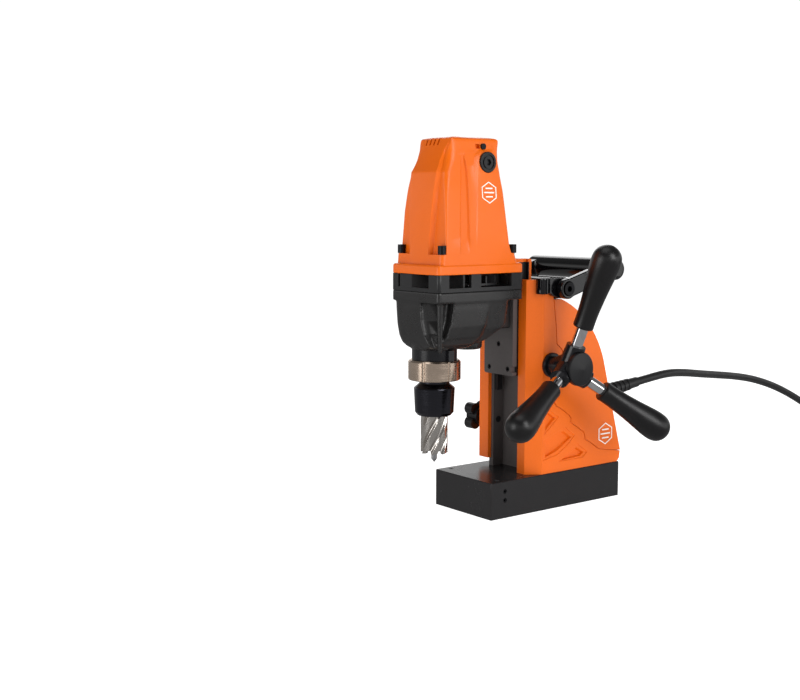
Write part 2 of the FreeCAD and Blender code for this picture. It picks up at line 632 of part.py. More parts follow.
def shrunk(sections, wall, top):
    """The same sections moved in by a wall thickness, ending below the top."""
    inner = [(z, half - wall, front + wall, back - wall, radius) for z, half, front, back, radius in sections[:-1]]
    last = sections[-1]
    return inner + [(top, last[1] - wall, last[2] + wall, last[3] - wall, last[4])]


def side_groove():
    return [(-111.5, 235.0), (-101.6, 235.0), (-104.2, 300.0), (-106.5, 309.0), (-109.8, 319.5)]


def hood_pad():
    """Raised pad on both sides that carries the brush caps."""
    sections = [(232.0, 32.2, -93.0, -64.0, 2.5), (270.0, 30.6, -93.0, -65.0, 2.5),
                (302.0, 27.0, -93.0, -66.0, 2.5), (320.0, 24.8, -91.0, -67.0, 2.5)]
    return tower(sections)


def hood_at(level):
    """Half width, front and back of the hood at a height."""
    for low, high in zip(HOOD_SECTIONS, HOOD_SECTIONS[1:]):
        if low[0] <= level <= high[0]:
            share = (level - low[0]) / (high[0] - low[0])
            return [low[k] + share * (high[k] - low[k]) for k in (1, 2, 3)]


def screw_channels(margin):
    """Recesses at the four corners that give access to the flange screws."""
    # height, width from the side, depth from the front or back
    steps = [(234.0 - margin, 18.4, 4.8), (270.0, 13.9, 4.7), (302.0, 7.6, 3.6), (317.0, 5.4, 0.9)]
    channels = []
    for front in (True, False):
        wires = []
        for level, width, depth in steps:
            half, y0, y1 = hood_at(level)
            width, depth = width + margin, depth + margin
            y_in, y_out = (y0 + depth, y0 - 10) if front else (y1 - depth, y1 + 10)
            points = [Vector(half - width, y_out, level), Vector(half - width, y_in, level),
                      Vector(half + 6, y_in, level), Vector(half + 6, y_out, level)]
            wires.append(Part.makePolygon(points + points[:1]))
        channel = Part.makeLoft(wires, True, True)
        channels += [channel, mirrored(channel)]
    return channels


def motor_hood():
    skirt = rounded_block((-FLANGE_HALF, FLANGE_HALF), (FLANGE_FRONT, FLANGE_BACK), (HOOD_BOTTOM, SKIRT_TOP), 3.0)
    outer = tower(HOOD_SECTIONS)
    groove = prism_x(side_groove(), (-40, 40)).cut(tower(shrunk(HOOD_SECTIONS, 1.1, HOOD_TOP)))
    outer = outer.cut(groove)
    head_room = [rod_z(x, y, 4.1, (234.0, 244.0)) for x, y in FLANGE_SCREWS]
    outer = cut_all(outer, screw_channels(0) + head_room)
    outer = fuse_all([skirt, outer, hood_pad()])
    wall = 2.6
    lower = [(HOOD_BOTTOM - 1, 29.4, FLANGE_FRONT + 3, FLANGE_BACK - 9, 3.0)]
    inner = tower(lower + shrunk(HOOD_SECTIONS, wall, HOOD_TOP - 3))
    inner = cut_all(inner, screw_channels(wall))
    posts = [rod_z(x, y, 6.3, (HOOD_BOTTOM - 2, 246.0)) for x, y in FLANGE_SCREWS]
    bearing_seat = ring_z(0, ARMATURE_Y, 11.0, 8.0, (320, HOOD_TOP))
    inner = cut_all(inner, posts + stator_ribs() + [bearing_seat])
    body = outer.cut(inner)
    slits = [box((x - 0.95, x + 0.95), (-120, -109.2), (327.2, 336)) for x in (-10.6, -5.2, 0.2, 5.6)]
    bores = [rod_x(ARMATURE_Y, BRUSH_Z, 9.0, (-40, -15)), rod_x(ARMATURE_Y, BRUSH_Z, 9.0, (15, 40))]
    bores += [rod_z(x, y, 2.0, (210, 240)) for x, y in FLANGE_SCREWS]
    bores += [rod_x(CLIP_Y, CLIP_Z, 2.6, x) for x in ((-30, -16), (16, 30))]
    return keep_largest(cut_all(body, slits + bores))


CLIP_Y, CLIP_Z = -79.5, 325.5


def socket_cap_screw(x, y, seat, head_height, tail):
    head = rod_z(x, y, 3.6, (seat, seat + head_height))
    hexagon = [(x + 1.7 * math.cos(math.radians(60 * k)), y + 1.7 * math.sin(math.radians(60 * k)))
               for k in range(6)]
    head = head.cut(prism_z(hexagon, (seat + head_height - 3, seat + head_height + 1)))
    return fuse_all([head, rod_z(x, y, 2.0, (tail, seat))])


def hood_screws():
    screws = [socket_cap_screw(x, y, 234.0, 7.5, 197.0) for x, y in FLANGE_SCREWS]
    for side in (-1, 1):
        screws.append(rod_x(CLIP_Y, CLIP_Z, 2.6, tuple(sorted((side * 18.0, side * 23.8)))))
    return Part.makeCompound(screws)


def brush_caps():
    cap = rod_x(ARMATURE_Y, BRUSH_Z, 9.0, (21.0, 27.4))
    cap = cap.makeFillet(0.8, [e for e in cap.Edges if e.BoundBox.XMin > 27.3])
    cap = cap.cut(rod_x(ARMATURE_Y, BRUSH_Z, 6.6, (26.5, 28)).cut(rod_x(ARMATURE_Y, BRUSH_Z, 5.2, (26, 28))))
    cap = cap.cut(hex_socket_x(ARMATURE_Y, BRUSH_Z, 3.0, (25.4, 28)))
    return both_sides(cap)


def carbon_brushes():
    return both_sides(box((9.9, 21.0), (ARMATURE_Y - 3, ARMATURE_Y + 3), (BRUSH_Z - 5, BRUSH_Z + 5)))


STATOR_R = 19.2


def stator_ribs():
    """Ribs inside the hood that hold the stator."""
    side = box((18.4, 32.0), (ARMATURE_Y - 4, ARMATURE_Y + 4), (226, 274))
    back = box((-4.0, 4.0), (ARMATURE_Y + STATOR_R - 0.4, ARMATURE_Y + 30), (226, 268))
    return [side, mirrored(side), back.cut(rod_z(0, ARMATURE_Y, STATOR_R, (220, 280)))]


def stator():
    body = ring_z(0, ARMATURE_Y, STATOR_R, 13.2, (226, 274))
    return cut_all(body, [box((x, x + 6), (ARMATURE_Y - 30, ARMATURE_Y + 30), (220, 280)) for x in (18.4, -24.4)])


def armature_core():
    body = ring_z(0, ARMATURE_Y, 12.6, 4.0, (228, 272))
    slots = []
    for k in range(12):
        angle = math.radians(30 * k)
        slot = rod_z(11.4 * math.cos(angle), ARMATURE_Y + 11.4 * math.sin(angle), 1.3, (227, 273))
        slots.append(slot)
    return cut_all(body, slots)


def cooling_fan():
    disc = ring_z(0, ARMATURE_Y, 26.0, 4.0, (206.2, 208.0))
    hub = ring_z(0, ARMATURE_Y, 7.5, 4.0, (206.2, 214.5))
    blades = []
    for k in range(12):
        blade = box((8.0, 25.6), (-0.8, 0.8), (207.5, 214.5))
        blade.rotate(Vector(0, 0, 0), Vector(0, 0, 1), 30 * k)
        blade.translate(Vector(0, ARMATURE_Y, 0))
        blades.append(blade)
    web = ring_z(0, ARMATURE_Y, 8.6, 7.0, (206.2, 214.5))
    return fuse_all([disc, hub, web] + blades)


def armature_shaft():
    idler = idler_centre()
    line = math.atan2(idler[1] - ARMATURE_Y, idler[0])
    pinion = gear_z(0, ARMATURE_Y, ARMATURE_TEETH, line, (190.4, 197.4))
    shaft = rod_z(0, ARMATURE_Y, 4.0, (198.4, 327.5))
    return fuse_all([shaft, rod_z(0, ARMATURE_Y, 1.5, (188.5, 199)), pinion])


def commutator():
    body = ring_z(0, ARMATURE_Y, 9.4, 4.0, (303, 319.5))
    gaps = []
    for k in range(16):
        gap = box((8.6, 10), (-0.3, 0.3), (302, 317))
        gap.rotate(Vector(0, 0, 0), Vector(0, 0, 1), 22.5 * k)
        gap.translate(Vector(0, ARMATURE_Y, 0))
        gaps.append(gap)
    return cut_all(body, gaps)


def armature_bearings():
    lower = ring_z(0, ARMATURE_Y, 9.0, 4.0, (199.8, 204.4))
    upper = ring_z(0, ARMATURE_Y, 8.0, 4.0, (321, 327))
    return Part.makeCompound([lower, upper])


def idler_gear():
    """Intermediate shaft: big wheel above, small pinion below."""
    x, y = idler_centre()
    to_armature = math.atan2(ARMATURE_Y - y, -x)
    to_spindle = math.atan2(SPINDLE_Y - y, -x)
    wheel = gear_z(x, y, IDLER_TEETH, to_armature + math.pi / IDLER_TEETH, (190.8, 196.8))
    pinion = gear_z(x, y, IDLER_PINION_TEETH, to_spindle, (167.5, 178.5))
    shaft = rod_z(x, y, 3.4, (160, 197.2))
    return fuse_all([wheel, pinion, shaft])


# ---------------------------------------------------------------- spindle and cutter
SPRING_TOP = 137.0


def spindle():
    body = fuse_all([rod_z(0, SPINDLE_Y, 8.0, (117, 181)), rod_z(0, SPINDLE_Y, 5.0, (180, 189))])
    return body.cut(rod_z(0, SPINDLE_Y, 4.6, (116, SPRING_TOP)))


def spindle_gear():
    x, y = idler_centre()
    to_idler = math.atan2(y - SPINDLE_Y, x)
    body = gear_z(0, SPINDLE_Y, SPINDLE_TEETH, to_idler + math.pi / SPINDLE_TEETH, (168, 178))
    return body.cut(rod_z(0, SPINDLE_Y, 8.0, (160, 190)))


def spindle_bearings():
    lower = ring_z(0, SPINDLE_Y, 16.0, 8.0, (151.4, 159.8))
    upper = ring_z(0, SPINDLE_Y, 9.0, 5.0, (183.5, 188.5))
    return Part.makeCompound([lower, upper])


def chuck_body():
    profile = [(9.6, CHUCK_BOTTOM), (14.9, CHUCK_BOTTOM), (17.0, 95.6), (CHUCK_R, 116.6), (17.6, CHUCK_TOP),
               (13.6, 120.8), (13.25, 121.4), (13.25, RING_BOTTOM - 0.2), (14.0, RING_BOTTOM - 0.2),
               (14.0, RING_TOP - 0.2), (8.0, RING_TOP - 0.2), (8.0, 117.0), (9.6, 117.0)]
    return revolve_z(profile, 0, SPINDLE_Y)


def core_cutter():
    """Hollow cutter with its shank in the chuck; six teeth at the rim."""
    shank = rod_z(0, SPINDLE_Y, 9.5, (84, 116.5))
    cup = rod_z(0, SPINDLE_Y, CUTTER_R, (CUTTER_BOTTOM, CHUCK_BOTTOM))
    body = fuse_all([cup, shank])
    body = body.cut(rod_z(0, SPINDLE_Y, 9.0, (CUTTER_BOTTOM - 1, 84.5)))
    body = body.cut(rod_z(0, SPINDLE_Y, PILOT_R + RUNNING_GAP, (80, 120)))
    for k in range(6):
        gullet = prism_x([(SPINDLE_Y - 0.5, CUTTER_BOTTOM - 1), (SPINDLE_Y + 3.4, CUTTER_BOTTOM - 1),
                          (SPINDLE_Y + 3.4, CUTTER_BOTTOM + 4.5), (SPINDLE_Y + 0.6, CUTTER_BOTTOM + 5.5)],
                         (6, 14))
        gullet.rotate(Vector(0, SPINDLE_Y, 0), Vector(0, 0, 1), 60 * k)
        body = body.cut(gullet)
    return body


def pilot_pin():
    tip = cone((0, SPINDLE_Y, PILOT_TIP), (0, SPINDLE_Y, PILOT_TIP + 3), 0.2, PILOT_R)
    stem = rod_z(0, SPINDLE_Y, PILOT_R, (PILOT_TIP + 3, 118.4))
    head = rod_z(0, SPINDLE_Y, 4.0, (118.4, 120.4))
    return fuse_all([tip, stem, head])


def pilot_spring():
    """Return spring between the pilot pin's head and the spindle."""
    wire_r, mean_r, turns = 0.45, 3.2, 5
    low, high = 120.4 + wire_r, SPRING_TOP - wire_r
    helix = Part.makeHelix((high - low) / turns, high - low, mean_r)
    section = Part.Wire([Part.makeCircle(wire_r, Vector(mean_r, 0, 0), Vector(0, 1, 0.1))])
    coil = Part.Wire(helix.Edges).makePipeShell([section], True, True)
    coil.translate(Vector(0, SPINDLE_Y, low))
    return Part.Solid(Part.Shell(coil.Faces))


def lock_ring():
    """Quick-release ring with six finger grooves."""
    outer = revolve_z([(0, RING_BOTTOM), (RING_R - 0.8, RING_BOTTOM), (RING_R, RING_BOTTOM + 0.8),
                       (RING_R, RING_TOP - 1.5), (RING_R - 1.5, RING_TOP), (0, RING_TOP)], 0, SPINDLE_Y)
    body = outer.cut(rod_z(0, SPINDLE_Y, 14.3, (RING_BOTTOM - 1, RING_TOP + 1)))
    for k in range(6):
        angle = math.radians(60 * k - 4)
        reach = RING_R + 0.5
        body = body.cut(rod_z(reach * math.cos(angle), SPINDLE_Y + reach * math.sin(angle), 1.6,
                              (RING_BOTTOM - 1, RING_TOP + 1)))
    return body


# ---------------------------------------------------------------- feed lever
def spoke_direction(index):
    angle = math.radians(SPOKE_START_ANGLE + 120 * index)
    lean = math.radians(SPOKE_CONE)
    return Vector(math.sin(lean), math.cos(lean) * math.cos(angle), math.cos(lean) * math.sin(angle))


def along_spoke(index, distance):
    point = Vector(SPOKE_ROOT_X, FEED_Y, FEED_Z) + spoke_direction(index) * distance
    return (point.x, point.y, point.z)


def feed_shaft():
    phase = math.pi + math.pi / FEED_TEETH
    outline = gear_outline(FEED_TEETH, FEED_MODULE, phase, 0.3)
    pinion = prism_x([(FEED_Y + u, FEED_Z + v) for u, v in outline], (-6.5, 6.5))
    return fuse_all([pinion, rod_x(FEED_Y, FEED_Z, FEED_SHAFT_R, (-39.0, 69.5))])


def feed_collar():
    body = revolve_x([(24.2, 5.55), (24.2, 9.0), (38.0, 9.0), (38.0, 11.2), (40.2, 11.2), (41.0, 10.4),
                      (41.0, 5.55)], FEED_Y, FEED_Z)
    return body


def feed_bush():
    return revolve_x([(-24.2, 5.55), (-24.2, 9.0), (-38.0, 9.0), (-38.0, 11.2), (-39.4, 11.2), (-40.0, 10.6),
                      (-40.0, 0.0), (-39.5, 0.0), (-39.5, 5.55)], FEED_Y, FEED_Z)


def feed_hub():
    neck = rod_x(FEED_Y, FEED_Z, 8.3, (41.4, 53))
    core = rod_x(FEED_Y, FEED_Z, 10.8, (51, 71.0))
    lobes = [cone(along_spoke(k, 0), along_spoke(k, 21.5), 10.6, 8.6) for k in range(3)]
    body = fuse_all([neck, core] + lobes)
    body = body.cut(rod_x(FEED_Y, FEED_Z, FEED_SHAFT_R, (40, 69.5)))
    body = body.cut(box((71.0, 90), (FEED_Y - 40, FEED_Y + 40), (FEED_Z - 40, FEED_Z + 40)).common(
        rod_x(FEED_Y, FEED_Z, 15.4, (60, 90))))
    for k in range(3):
        body = body.cut(rod(along_spoke(k, 7), along_spoke(k, 40), SPOKE_R))
    return keep_largest(body)


def hub_cap():
    return revolve_x([(71.0, 0.0), (71.0, 14.4), (71.6, 15.0), (75.4, 15.0), (76.2, 14.2), (78.0, 3.0),
                      (78.4, 0.0)], FEED_Y, FEED_Z).cut(
        rod(along_spoke(0, 5), along_spoke(0, 40), SPOKE_R)).cut(
        rod(along_spoke(1, 5), along_spoke(1, 40), SPOKE_R)).cut(
        rod(along_spoke(2, 5), along_spoke(2, 40), SPOKE_R))


def spokes():
    shaft_clear = rod_x(FEED_Y, FEED_Z, FEED_SHAFT_R, (40, 69.5))
    return Part.makeCompound([rod(along_spoke(k, 9.0), along_spoke(k, 62), SPOKE_R).cut(shaft_clear)
                              for k in range(3)])


def grip(index):
    """Round-ended plastic grip, turned about its spoke."""
    profile = [(0.0, 7.6), (0.5, 8.6), (1.6, 9.2), (12, 9.1), (26, 9.9), (40, 11.2), (52, 12.6), (62, 13.2),
               (70, 11.6), (74.5, 7.6), (76.6, 3.2)]
    points = [Vector(r, 0, s) for s, r in profile]
    curve = Part.BSplineCurve()
    curve.interpolate(points[2:] + [Vector(0, 0, GRIP_LENGTH)])
    edges = [Part.LineSegment(Vector(0, 0, 0), points[0]).toShape(),
             Part.makePolygon(points[:3]), curve.toShape(),
             Part.LineSegment(Vector(0, 0, GRIP_LENGTH), Vector(0, 0, 0)).toShape()]
    flat = []
    for piece in edges:
        flat += piece.Edges
    body = Part.Face(Part.Wire(flat)).revolve(Vector(0, 0, 0), Vector(0, 0, 1), 360)
    body = Part.Solid(Part.Shell(body.Faces))
    body = body.cut(rod((0, 0, -1), (0, 0, 62 - GRIP_START), SPOKE_R))
    turn = FreeCAD.Rotation(Vector(0, 0, 1), spoke_direction(index))
    body.Placement = FreeCAD.Placement(Vector(*along_spoke(index, GRIP_START)), turn)
    return body


# ---------------------------------------------------------------- carrying handle
def handle_bracket():
    """Black block on the stand's top whose cheeks carry the handle's bolts."""
    bridge = prism_x([(BRACKET_FRONT, BRACKET_SEAT), (BRACKET_FRONT, 209.8), (-11.0, 211.2), (6.0, 211.2),
                      (9.0, 208.0), (9.0, BRACKET_SEAT), (5.0, 192.2), (-6.9, 192.2), (-6.9, BRACKET_SEAT)],
                     (-37.9, 37.9))
    bridge = bridge.cut(box((-COLUMN_HALF, COLUMN_HALF), (-8, 0), (190, BRACKET_SEAT)))
    cheek_side = [(-27.8, 210.6), (-26.0, 211.2), (4.0, 211.2), (9.0, 206.0), (9.4, 201.3), (7.0, 195.0),
                  (0.5, 192.3), (-6.0, 192.8), (-13.0, 195.4), (-15.0, 197.4), (-21.0, 197.4), (-24.0, 201.0),
                  (-27.8, 202.4)]
    cheek = prism_x(cheek_side, (38.2, 42.0))
    web = prism_x([(-13.0, 209.7), (-13.0, 211.2), (6.0, 211.2), (6.0, 202.0), (-6.0, 202.0), (-6.0, 209.7)],
                  (37.0, 39.0))
    body = fuse_all([bridge, cheek, mirrored(cheek), web, mirrored(web)])
    bore = rod_x(HANDLE_Y, HANDLE_Z, 4.0, (30, 45))
    return cut_all(body, [bore, mirrored(bore)])


def handle_bolts():
    bolt = fuse_all([rod_x(HANDLE_Y, HANDLE_Z, 4.0, (30.5, ARM_OUTER - 2)),
                     rod_x(HANDLE_Y, HANDLE_Z, 6.0, (ARM_OUTER - 2.2, ARM_OUTER + 1.0))])
    bolt = bolt.cut(hex_socket_x(HANDLE_Y, HANDLE_Z, 2.9, (ARM_OUTER - 2.5, ARM_OUTER + 2)))
    return both_sides(bolt)


def carry_handle():
    """Bow handle that folds about the two bolts."""
    bar = rod_x(GRIP_BAR_Y, GRIP_BAR_Z, GRIP_BAR_R, (-GRIP_BAR_HALF, GRIP_BAR_HALF))
    bar = bar.makeFillet(4.0, [e for e in bar.Edges if e.BoundBox.XLength < 0.01])
    slope = math.atan2(GRIP_BAR_Z - HANDLE_Z, GRIP_BAR_Y - HANDLE_Y)
    across = Vector(0, -math.sin(slope), math.cos(slope))

    def rail(distance, half_height):
        base_y = HANDLE_Y + distance * math.cos(slope)
        base_z = HANDLE_Z + distance * math.sin(slope)
        return [(base_y - half_height * across.y, base_z - half_height * across.z),
                (base_y + half_height * across.y, base_z + half_height * across.z)]
    near, far = rail(4.0, 8.4), rail(52.0, 8.0)
    arm = prism_x([near[0], near[1], far[1], far[0]], (ARM_INNER, ARM_OUTER))
    eye = rod_x(HANDLE_Y, HANDLE_Z, HANDLE_EYE_R, (ARM_INNER, ARM_OUTER))
    flare_near, flare_far = rail(22.0, 7.6), rail(54.0, 8.0)
    wedge = Part.makeLoft([
        arm_section(flare_near, ARM_OUTER - 2.0, ARM_OUTER),
        arm_section(flare_far, ARM_OUTER - 2.0, GRIP_BAR_HALF - 1.5)], True, True)
    right = fuse_all([arm, eye, wedge])
    body = fuse_all([bar, right, mirrored(right)])
    bore = rod_x(HANDLE_Y, HANDLE_Z, 4.0 + RUNNING_GAP, (ARM_INNER - 1, ARM_OUTER + 1))
    seat = rod_x(HANDLE_Y, HANDLE_Z, 6.0 + RUNNING_GAP, (ARM_OUTER - 2.25, ARM_OUTER + 1))
    return keep_largest(cut_all(body, [bore, seat, mirrored(bore), mirrored(seat)]))


def arm_section(rail_points, inner, outer):
    (low_y, low_z), (high_y, high_z) = rail_points
    points = [Vector(inner, low_y, low_z), Vector(outer, low_y, low_z), Vector(outer, high_y, high_z),
              Vector(inner, high_y, high_z)]
    return Part.makePolygon(points + points[:1])


# ---------------------------------------------------------------- clamp knob
def clamp_knob():
    core = rod_x(KNOB_Y, KNOB_Z, 9.0, (-54.5, -40.0))
    stem = rod_x(KNOB_Y, KNOB_Z, 3.0, (-41.0, -18.8))
    wings = []
    for k in range(4):
        angle = math.radians(45 + 90 * k)
        wings.append(rod_x(KNOB_Y + 9.6 * math.cos(angle), KNOB_Z + 9.6 * math.sin(angle), 5.6, (-53.6, -43.5)))
    collar = rod_x(KNOB_Y, KNOB_Z, 5.5, (-44.0, -38.4))
    return fuse_all([core, stem, collar] + wings)


# ---------------------------------------------------------------- mains lead
def vectors(points):
    return [Vector(*point) for point in points]


def relief_line():
    start = Vector(*RELIEF_START)
    return start, (Vector(*RELIEF_END) - start).normalize()


def strain_relief():
    """Ribbed, tapered sleeve where the lead leaves the right cover."""
    start, axis = relief_line()
    length = (Vector(*RELIEF_END) - start).Length

    def at(distance):
        return tuple(start + axis * distance)
    neck = rod(at(0), at(9), RELIEF_NECK_R)
    taper = cone(at(9), at(length), RELIEF_NECK_R, 4.9)
    inner_flange = rod(at(-5.0), at(-3.2), 8.0)
    tail = rod(at(-5.2), at(1), 5.0)
    ribs = [rod(at(13 + 6 * k), at(16.4 + 6 * k), 7.0 - 0.24 * k) for k in range(6)]
    collar = rod(at(5.5), at(8.0), 8.6)
    body = fuse_all([neck, taper, inner_flange, tail, collar] + ribs)
    return body.cut(rod(at(length - CORD_GRIP), at(length + 1), CORD_D / 2))


def lead_wire(points):
    """Straight runs joined by tangent arcs; also prints the arcs' radii."""
    pts = vectors(points)
    edges, here, radii = [], pts[0], []
    for before, corner, after in zip(pts, pts[1:], pts[2:]):
        back, ahead = before - corner, after - corner
        run = 0.45 * min(back.Length, ahead.Length)
        back.normalize()
        ahead.normalize()
        start, stop = corner + back * run, corner + ahead * run
        half_angle = back.getAngle(ahead) / 2
        radius = run * math.tan(half_angle)
        radii.append(radius)
        bisector = (back + ahead).normalize()
        centre = corner + bisector * (run / math.cos(half_angle))
        middle = centre - bisector * radius
        edges.append(Part.LineSegment(here, start).toShape())
        edges.append(Part.Arc(start, middle, stop).toShape())
        here = stop
    edges.append(Part.LineSegment(here, pts[-1]).toShape())
    print("lead arc radii:", " ".join("%.0f" % radius for radius in radii))
    return Part.Wire(edges)


def power_cord():
    relief_axis = relief_line()[1]
    inner_end = Vector(*RELIEF_END) - relief_axis * CORD_GRIP
    path = lead_wire([tuple(inner_end)] + CORD_ROUTE)
    circle = Part.Wire([Part.makeCircle(CORD_D / 2, inner_end, relief_axis)])
    tube = path.makePipeShell([circle], True, True)
    tube = Part.Solid(Part.Shell(tube.Faces))
    section = math.pi * CORD_D ** 2 / 4
    print("lead: length %.0f, volume %.0f, section times length %.0f" % (path.Length, tube.Volume,
                                                                       section * path.Length))
    return tube


def cord_coil():
    """Stored part of the lead as one ring with the coil's outer shape."""
    spread = COIL_ROWS / 2 * CORD_D
    body = ring_z(COIL_CENTRE[0], COIL_CENTRE[1], COIL_MID_R + spread, COIL_MID_R - spread,
                  (0, COIL_LAYERS * CORD_D))
    return body.makeFillet(3.0, body.Edges)


def mains_plug():
    """Moulded plug with two blades and an earth pin, lying on the coil along its turns."""
    base = Vector(COIL_CENTRE[0], COIL_CENTRE[1] + COIL_MID_R, COIL_LAYERS * CORD_D)
    body = box((-8, 24), (-14, 14), (0, 22))
    body = body.makeFillet(4.0, edges_along(body, Vector(1, 0, 0)))
    tail = cone((-30, 0, 11), (-8, 0, 11), 5.2, 8.5)
    blades = [box((24, 41), (s * 6.35 - 0.8, s * 6.35 + 0.8), (11, 17.4)) for s in (-1, 1)]
    earth = rod_x(0, 5.6, 2.4, (23, 44))
    body = fuse_all([body, tail, earth] + blades)
    body.translate(base)
    return body


# ---------------------------------------------------------------- writing the pieces
def all_nodes():
    nodes = {
        "magnet_foot": magnet_foot(),
        "magnet_coil": foot_groove(0.3, (4.0, 23.6)),
        "magnet_seal": foot_groove(0, (0, 4.0)),
        "foot_screws": foot_screws(),
        "column": column(),
        "gibs": gibs(),
        "stand_casting": stand_casting(),
        "right_cover": right_cover(),
        "left_cover": left_cover(),
        "cover_screws": cover_screws(),
        "control_module": control_module(),
        "switch_panel": switch_panel(),
        "magnet_rocker": magnet_rocker(),
        "start_button": press_button(START_Z, 2.4),
        "stop_button": press_button(STOP_Z, 3.4),
        "feed_collar": feed_collar(),
        "feed_bush": feed_bush(),
        "handle_bracket": handle_bracket(),
        "handle_bolts": handle_bolts(),
        "carry_handle": carry_handle(),
        "clamp_knob": clamp_knob(),
        "slide_block": slide_block(),
        "carriage_plate": carriage_plate(),
        "plate_screws": plate_screws(),
        "rack": rack(),
        "slide_cap": slide_cap(),
        "gearbox_housing": gearbox_housing(),
        "bearing_plate": bearing_plate(),
        "spindle_nose": spindle_nose(),
        "vent_ring": vent_ring(),
        "motor_hood": motor_hood(),
        "hood_screws": hood_screws(),
        "brush_caps": brush_caps(),
        "carbon_brushes": carbon_brushes(),
        "stator": stator(),
        "armature_bearings": armature_bearings(),
        "spindle_bearings": spindle_bearings(),
        "armature_shaft": armature_shaft(),
        "armature_core": armature_core(),
        "commutator": commutator(),
        "cooling_fan": cooling_fan(),
        "idler_gear": idler_gear(),
        "spindle": spindle(),
        "spindle_gear": spindle_gear(),
        "chuck_body": chuck_body(),
        "core_cutter": core_cutter(),
        "lock_ring": lock_ring(),
        "pilot_pin": pilot_pin(),
        "pilot_spring": pilot_spring(),
        "feed_shaft": feed_shaft(),
        "feed_hub": feed_hub(),
        "hub_cap": hub_cap(),
        "spokes": spokes(),
        "strain_relief": strain_relief(),
        "power_cord": power_cord(),
        "cord_coil": cord_coil(),
        "mains_plug": mains_plug(),
    }
    for index in range(3):
        nodes["grip_%d" % (index + 1)] = grip(index)
    return nodes


os.makedirs("parts", exist_ok=True)
for name, shape in all_nodes().items():
    volume = sum(solid.Volume for solid in shape.Solids)
    print("%-18s solids %d  valid %s  volume %.0f" % (name, len(shape.Solids), shape.isValid(), volume))
    shape.exportStep("parts/%s.step" % name)
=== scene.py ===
"""Looks of the magnetic drill press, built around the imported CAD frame. Metres, +Z up."""
import json
import math
import bmesh
import bpy
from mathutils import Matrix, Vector

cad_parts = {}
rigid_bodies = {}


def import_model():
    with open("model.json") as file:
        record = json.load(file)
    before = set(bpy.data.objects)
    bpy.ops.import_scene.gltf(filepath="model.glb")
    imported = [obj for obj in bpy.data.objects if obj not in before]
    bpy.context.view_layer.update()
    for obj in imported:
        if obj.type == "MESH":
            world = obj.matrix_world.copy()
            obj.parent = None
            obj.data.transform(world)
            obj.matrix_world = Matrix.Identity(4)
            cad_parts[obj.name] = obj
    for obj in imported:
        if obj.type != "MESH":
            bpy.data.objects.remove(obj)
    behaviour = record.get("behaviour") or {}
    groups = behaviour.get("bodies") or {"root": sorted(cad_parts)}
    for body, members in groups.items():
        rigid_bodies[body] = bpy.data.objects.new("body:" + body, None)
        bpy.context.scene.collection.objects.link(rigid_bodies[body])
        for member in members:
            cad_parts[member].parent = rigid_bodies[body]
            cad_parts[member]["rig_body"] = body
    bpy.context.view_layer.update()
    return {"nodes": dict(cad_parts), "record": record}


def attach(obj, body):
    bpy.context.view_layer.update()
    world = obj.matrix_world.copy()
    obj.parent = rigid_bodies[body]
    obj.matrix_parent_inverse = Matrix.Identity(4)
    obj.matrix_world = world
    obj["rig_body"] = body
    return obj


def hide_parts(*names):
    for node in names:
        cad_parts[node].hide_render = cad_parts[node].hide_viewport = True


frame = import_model()
nodes = frame["nodes"]
MM = 0.001


# ---------------------------------------------------------------- materials
def linear(red, green, blue):
    """Display values from 0 to 255 as a linear colour."""
    def one(value):
        value /= 255.0
        return value / 12.92 if value <= 0.04045 else ((value + 0.055) / 1.055) ** 2.4
    return (one(red), one(green), one(blue), 1.0)


def shade(color, factor):
    return tuple(min(1.0, channel * factor) for channel in color[:3]) + (1.0,)


class Graph:
    """Short calls for building a material's nodes."""

    def __init__(self, name):
        self.material = bpy.data.materials.new(name)
        self.material.use_nodes = True
        self.tree = self.material.node_tree
        self.shader = self.tree.nodes["Principled BSDF"]
        self.coords = self.tree.nodes.new("ShaderNodeTexCoord").outputs["Object"]

    def node(self, kind, **settings):
        made = self.tree.nodes.new("ShaderNode" + kind)
        for key, value in settings.items():
            setattr(made, key, value)
        return made

    def link(self, source, target):
        self.tree.links.new(source, target)

    def stretched(self, scale):
        mapping = self.node("Mapping")
        mapping.inputs["Scale"].default_value = scale
        self.link(self.coords, mapping.inputs["Vector"])
        return mapping.outputs["Vector"]

    def noise(self, scale, detail=3.0, roughness=0.55, vector=None):
        texture = self.node("TexNoise")
        texture.inputs["Scale"].default_value = scale
        texture.inputs["Detail"].default_value = detail
        texture.inputs["Roughness"].default_value = roughness
        self.link(vector or self.coords, texture.inputs["Vector"])
        return texture.outputs["Fac"]

    def ranged(self, value, low, high, start=0.3, stop=0.7):
        made = self.node("MapRange")
        for key, number in (("From Min", start), ("From Max", stop), ("To Min", low), ("To Max", high)):
            made.inputs[key].default_value = number
        self.link(value, made.inputs["Value"])
        return made.outputs["Result"]

    def mixed(self, factor, first, second):
        """Colour mix; first and second are colours or sockets."""
        made = self.node("Mix", data_type="RGBA")
        self.link(factor, made.inputs["Factor"])
        for socket, value in ((made.inputs[6], first), (made.inputs[7], second)):
            if isinstance(value, tuple):
                socket.default_value = value
            else:
                self.link(value, socket)
        return made.outputs[2]

    def bump(self, height, distance, strength=1.0, under=None):
        made = self.node("Bump")
        made.inputs["Distance"].default_value = distance
        made.inputs["Strength"].default_value = strength
        self.link(height, made.inputs["Height"])
        if under is not None:
            self.link(under, made.inputs["Normal"])
        return made.outputs["Normal"]

    def into(self, name, source):
        self.link(source, self.shader.inputs[name])

    def set(self, **values):
        for key, value in values.items():
            self.shader.inputs[key.replace("_", " ")].default_value = value


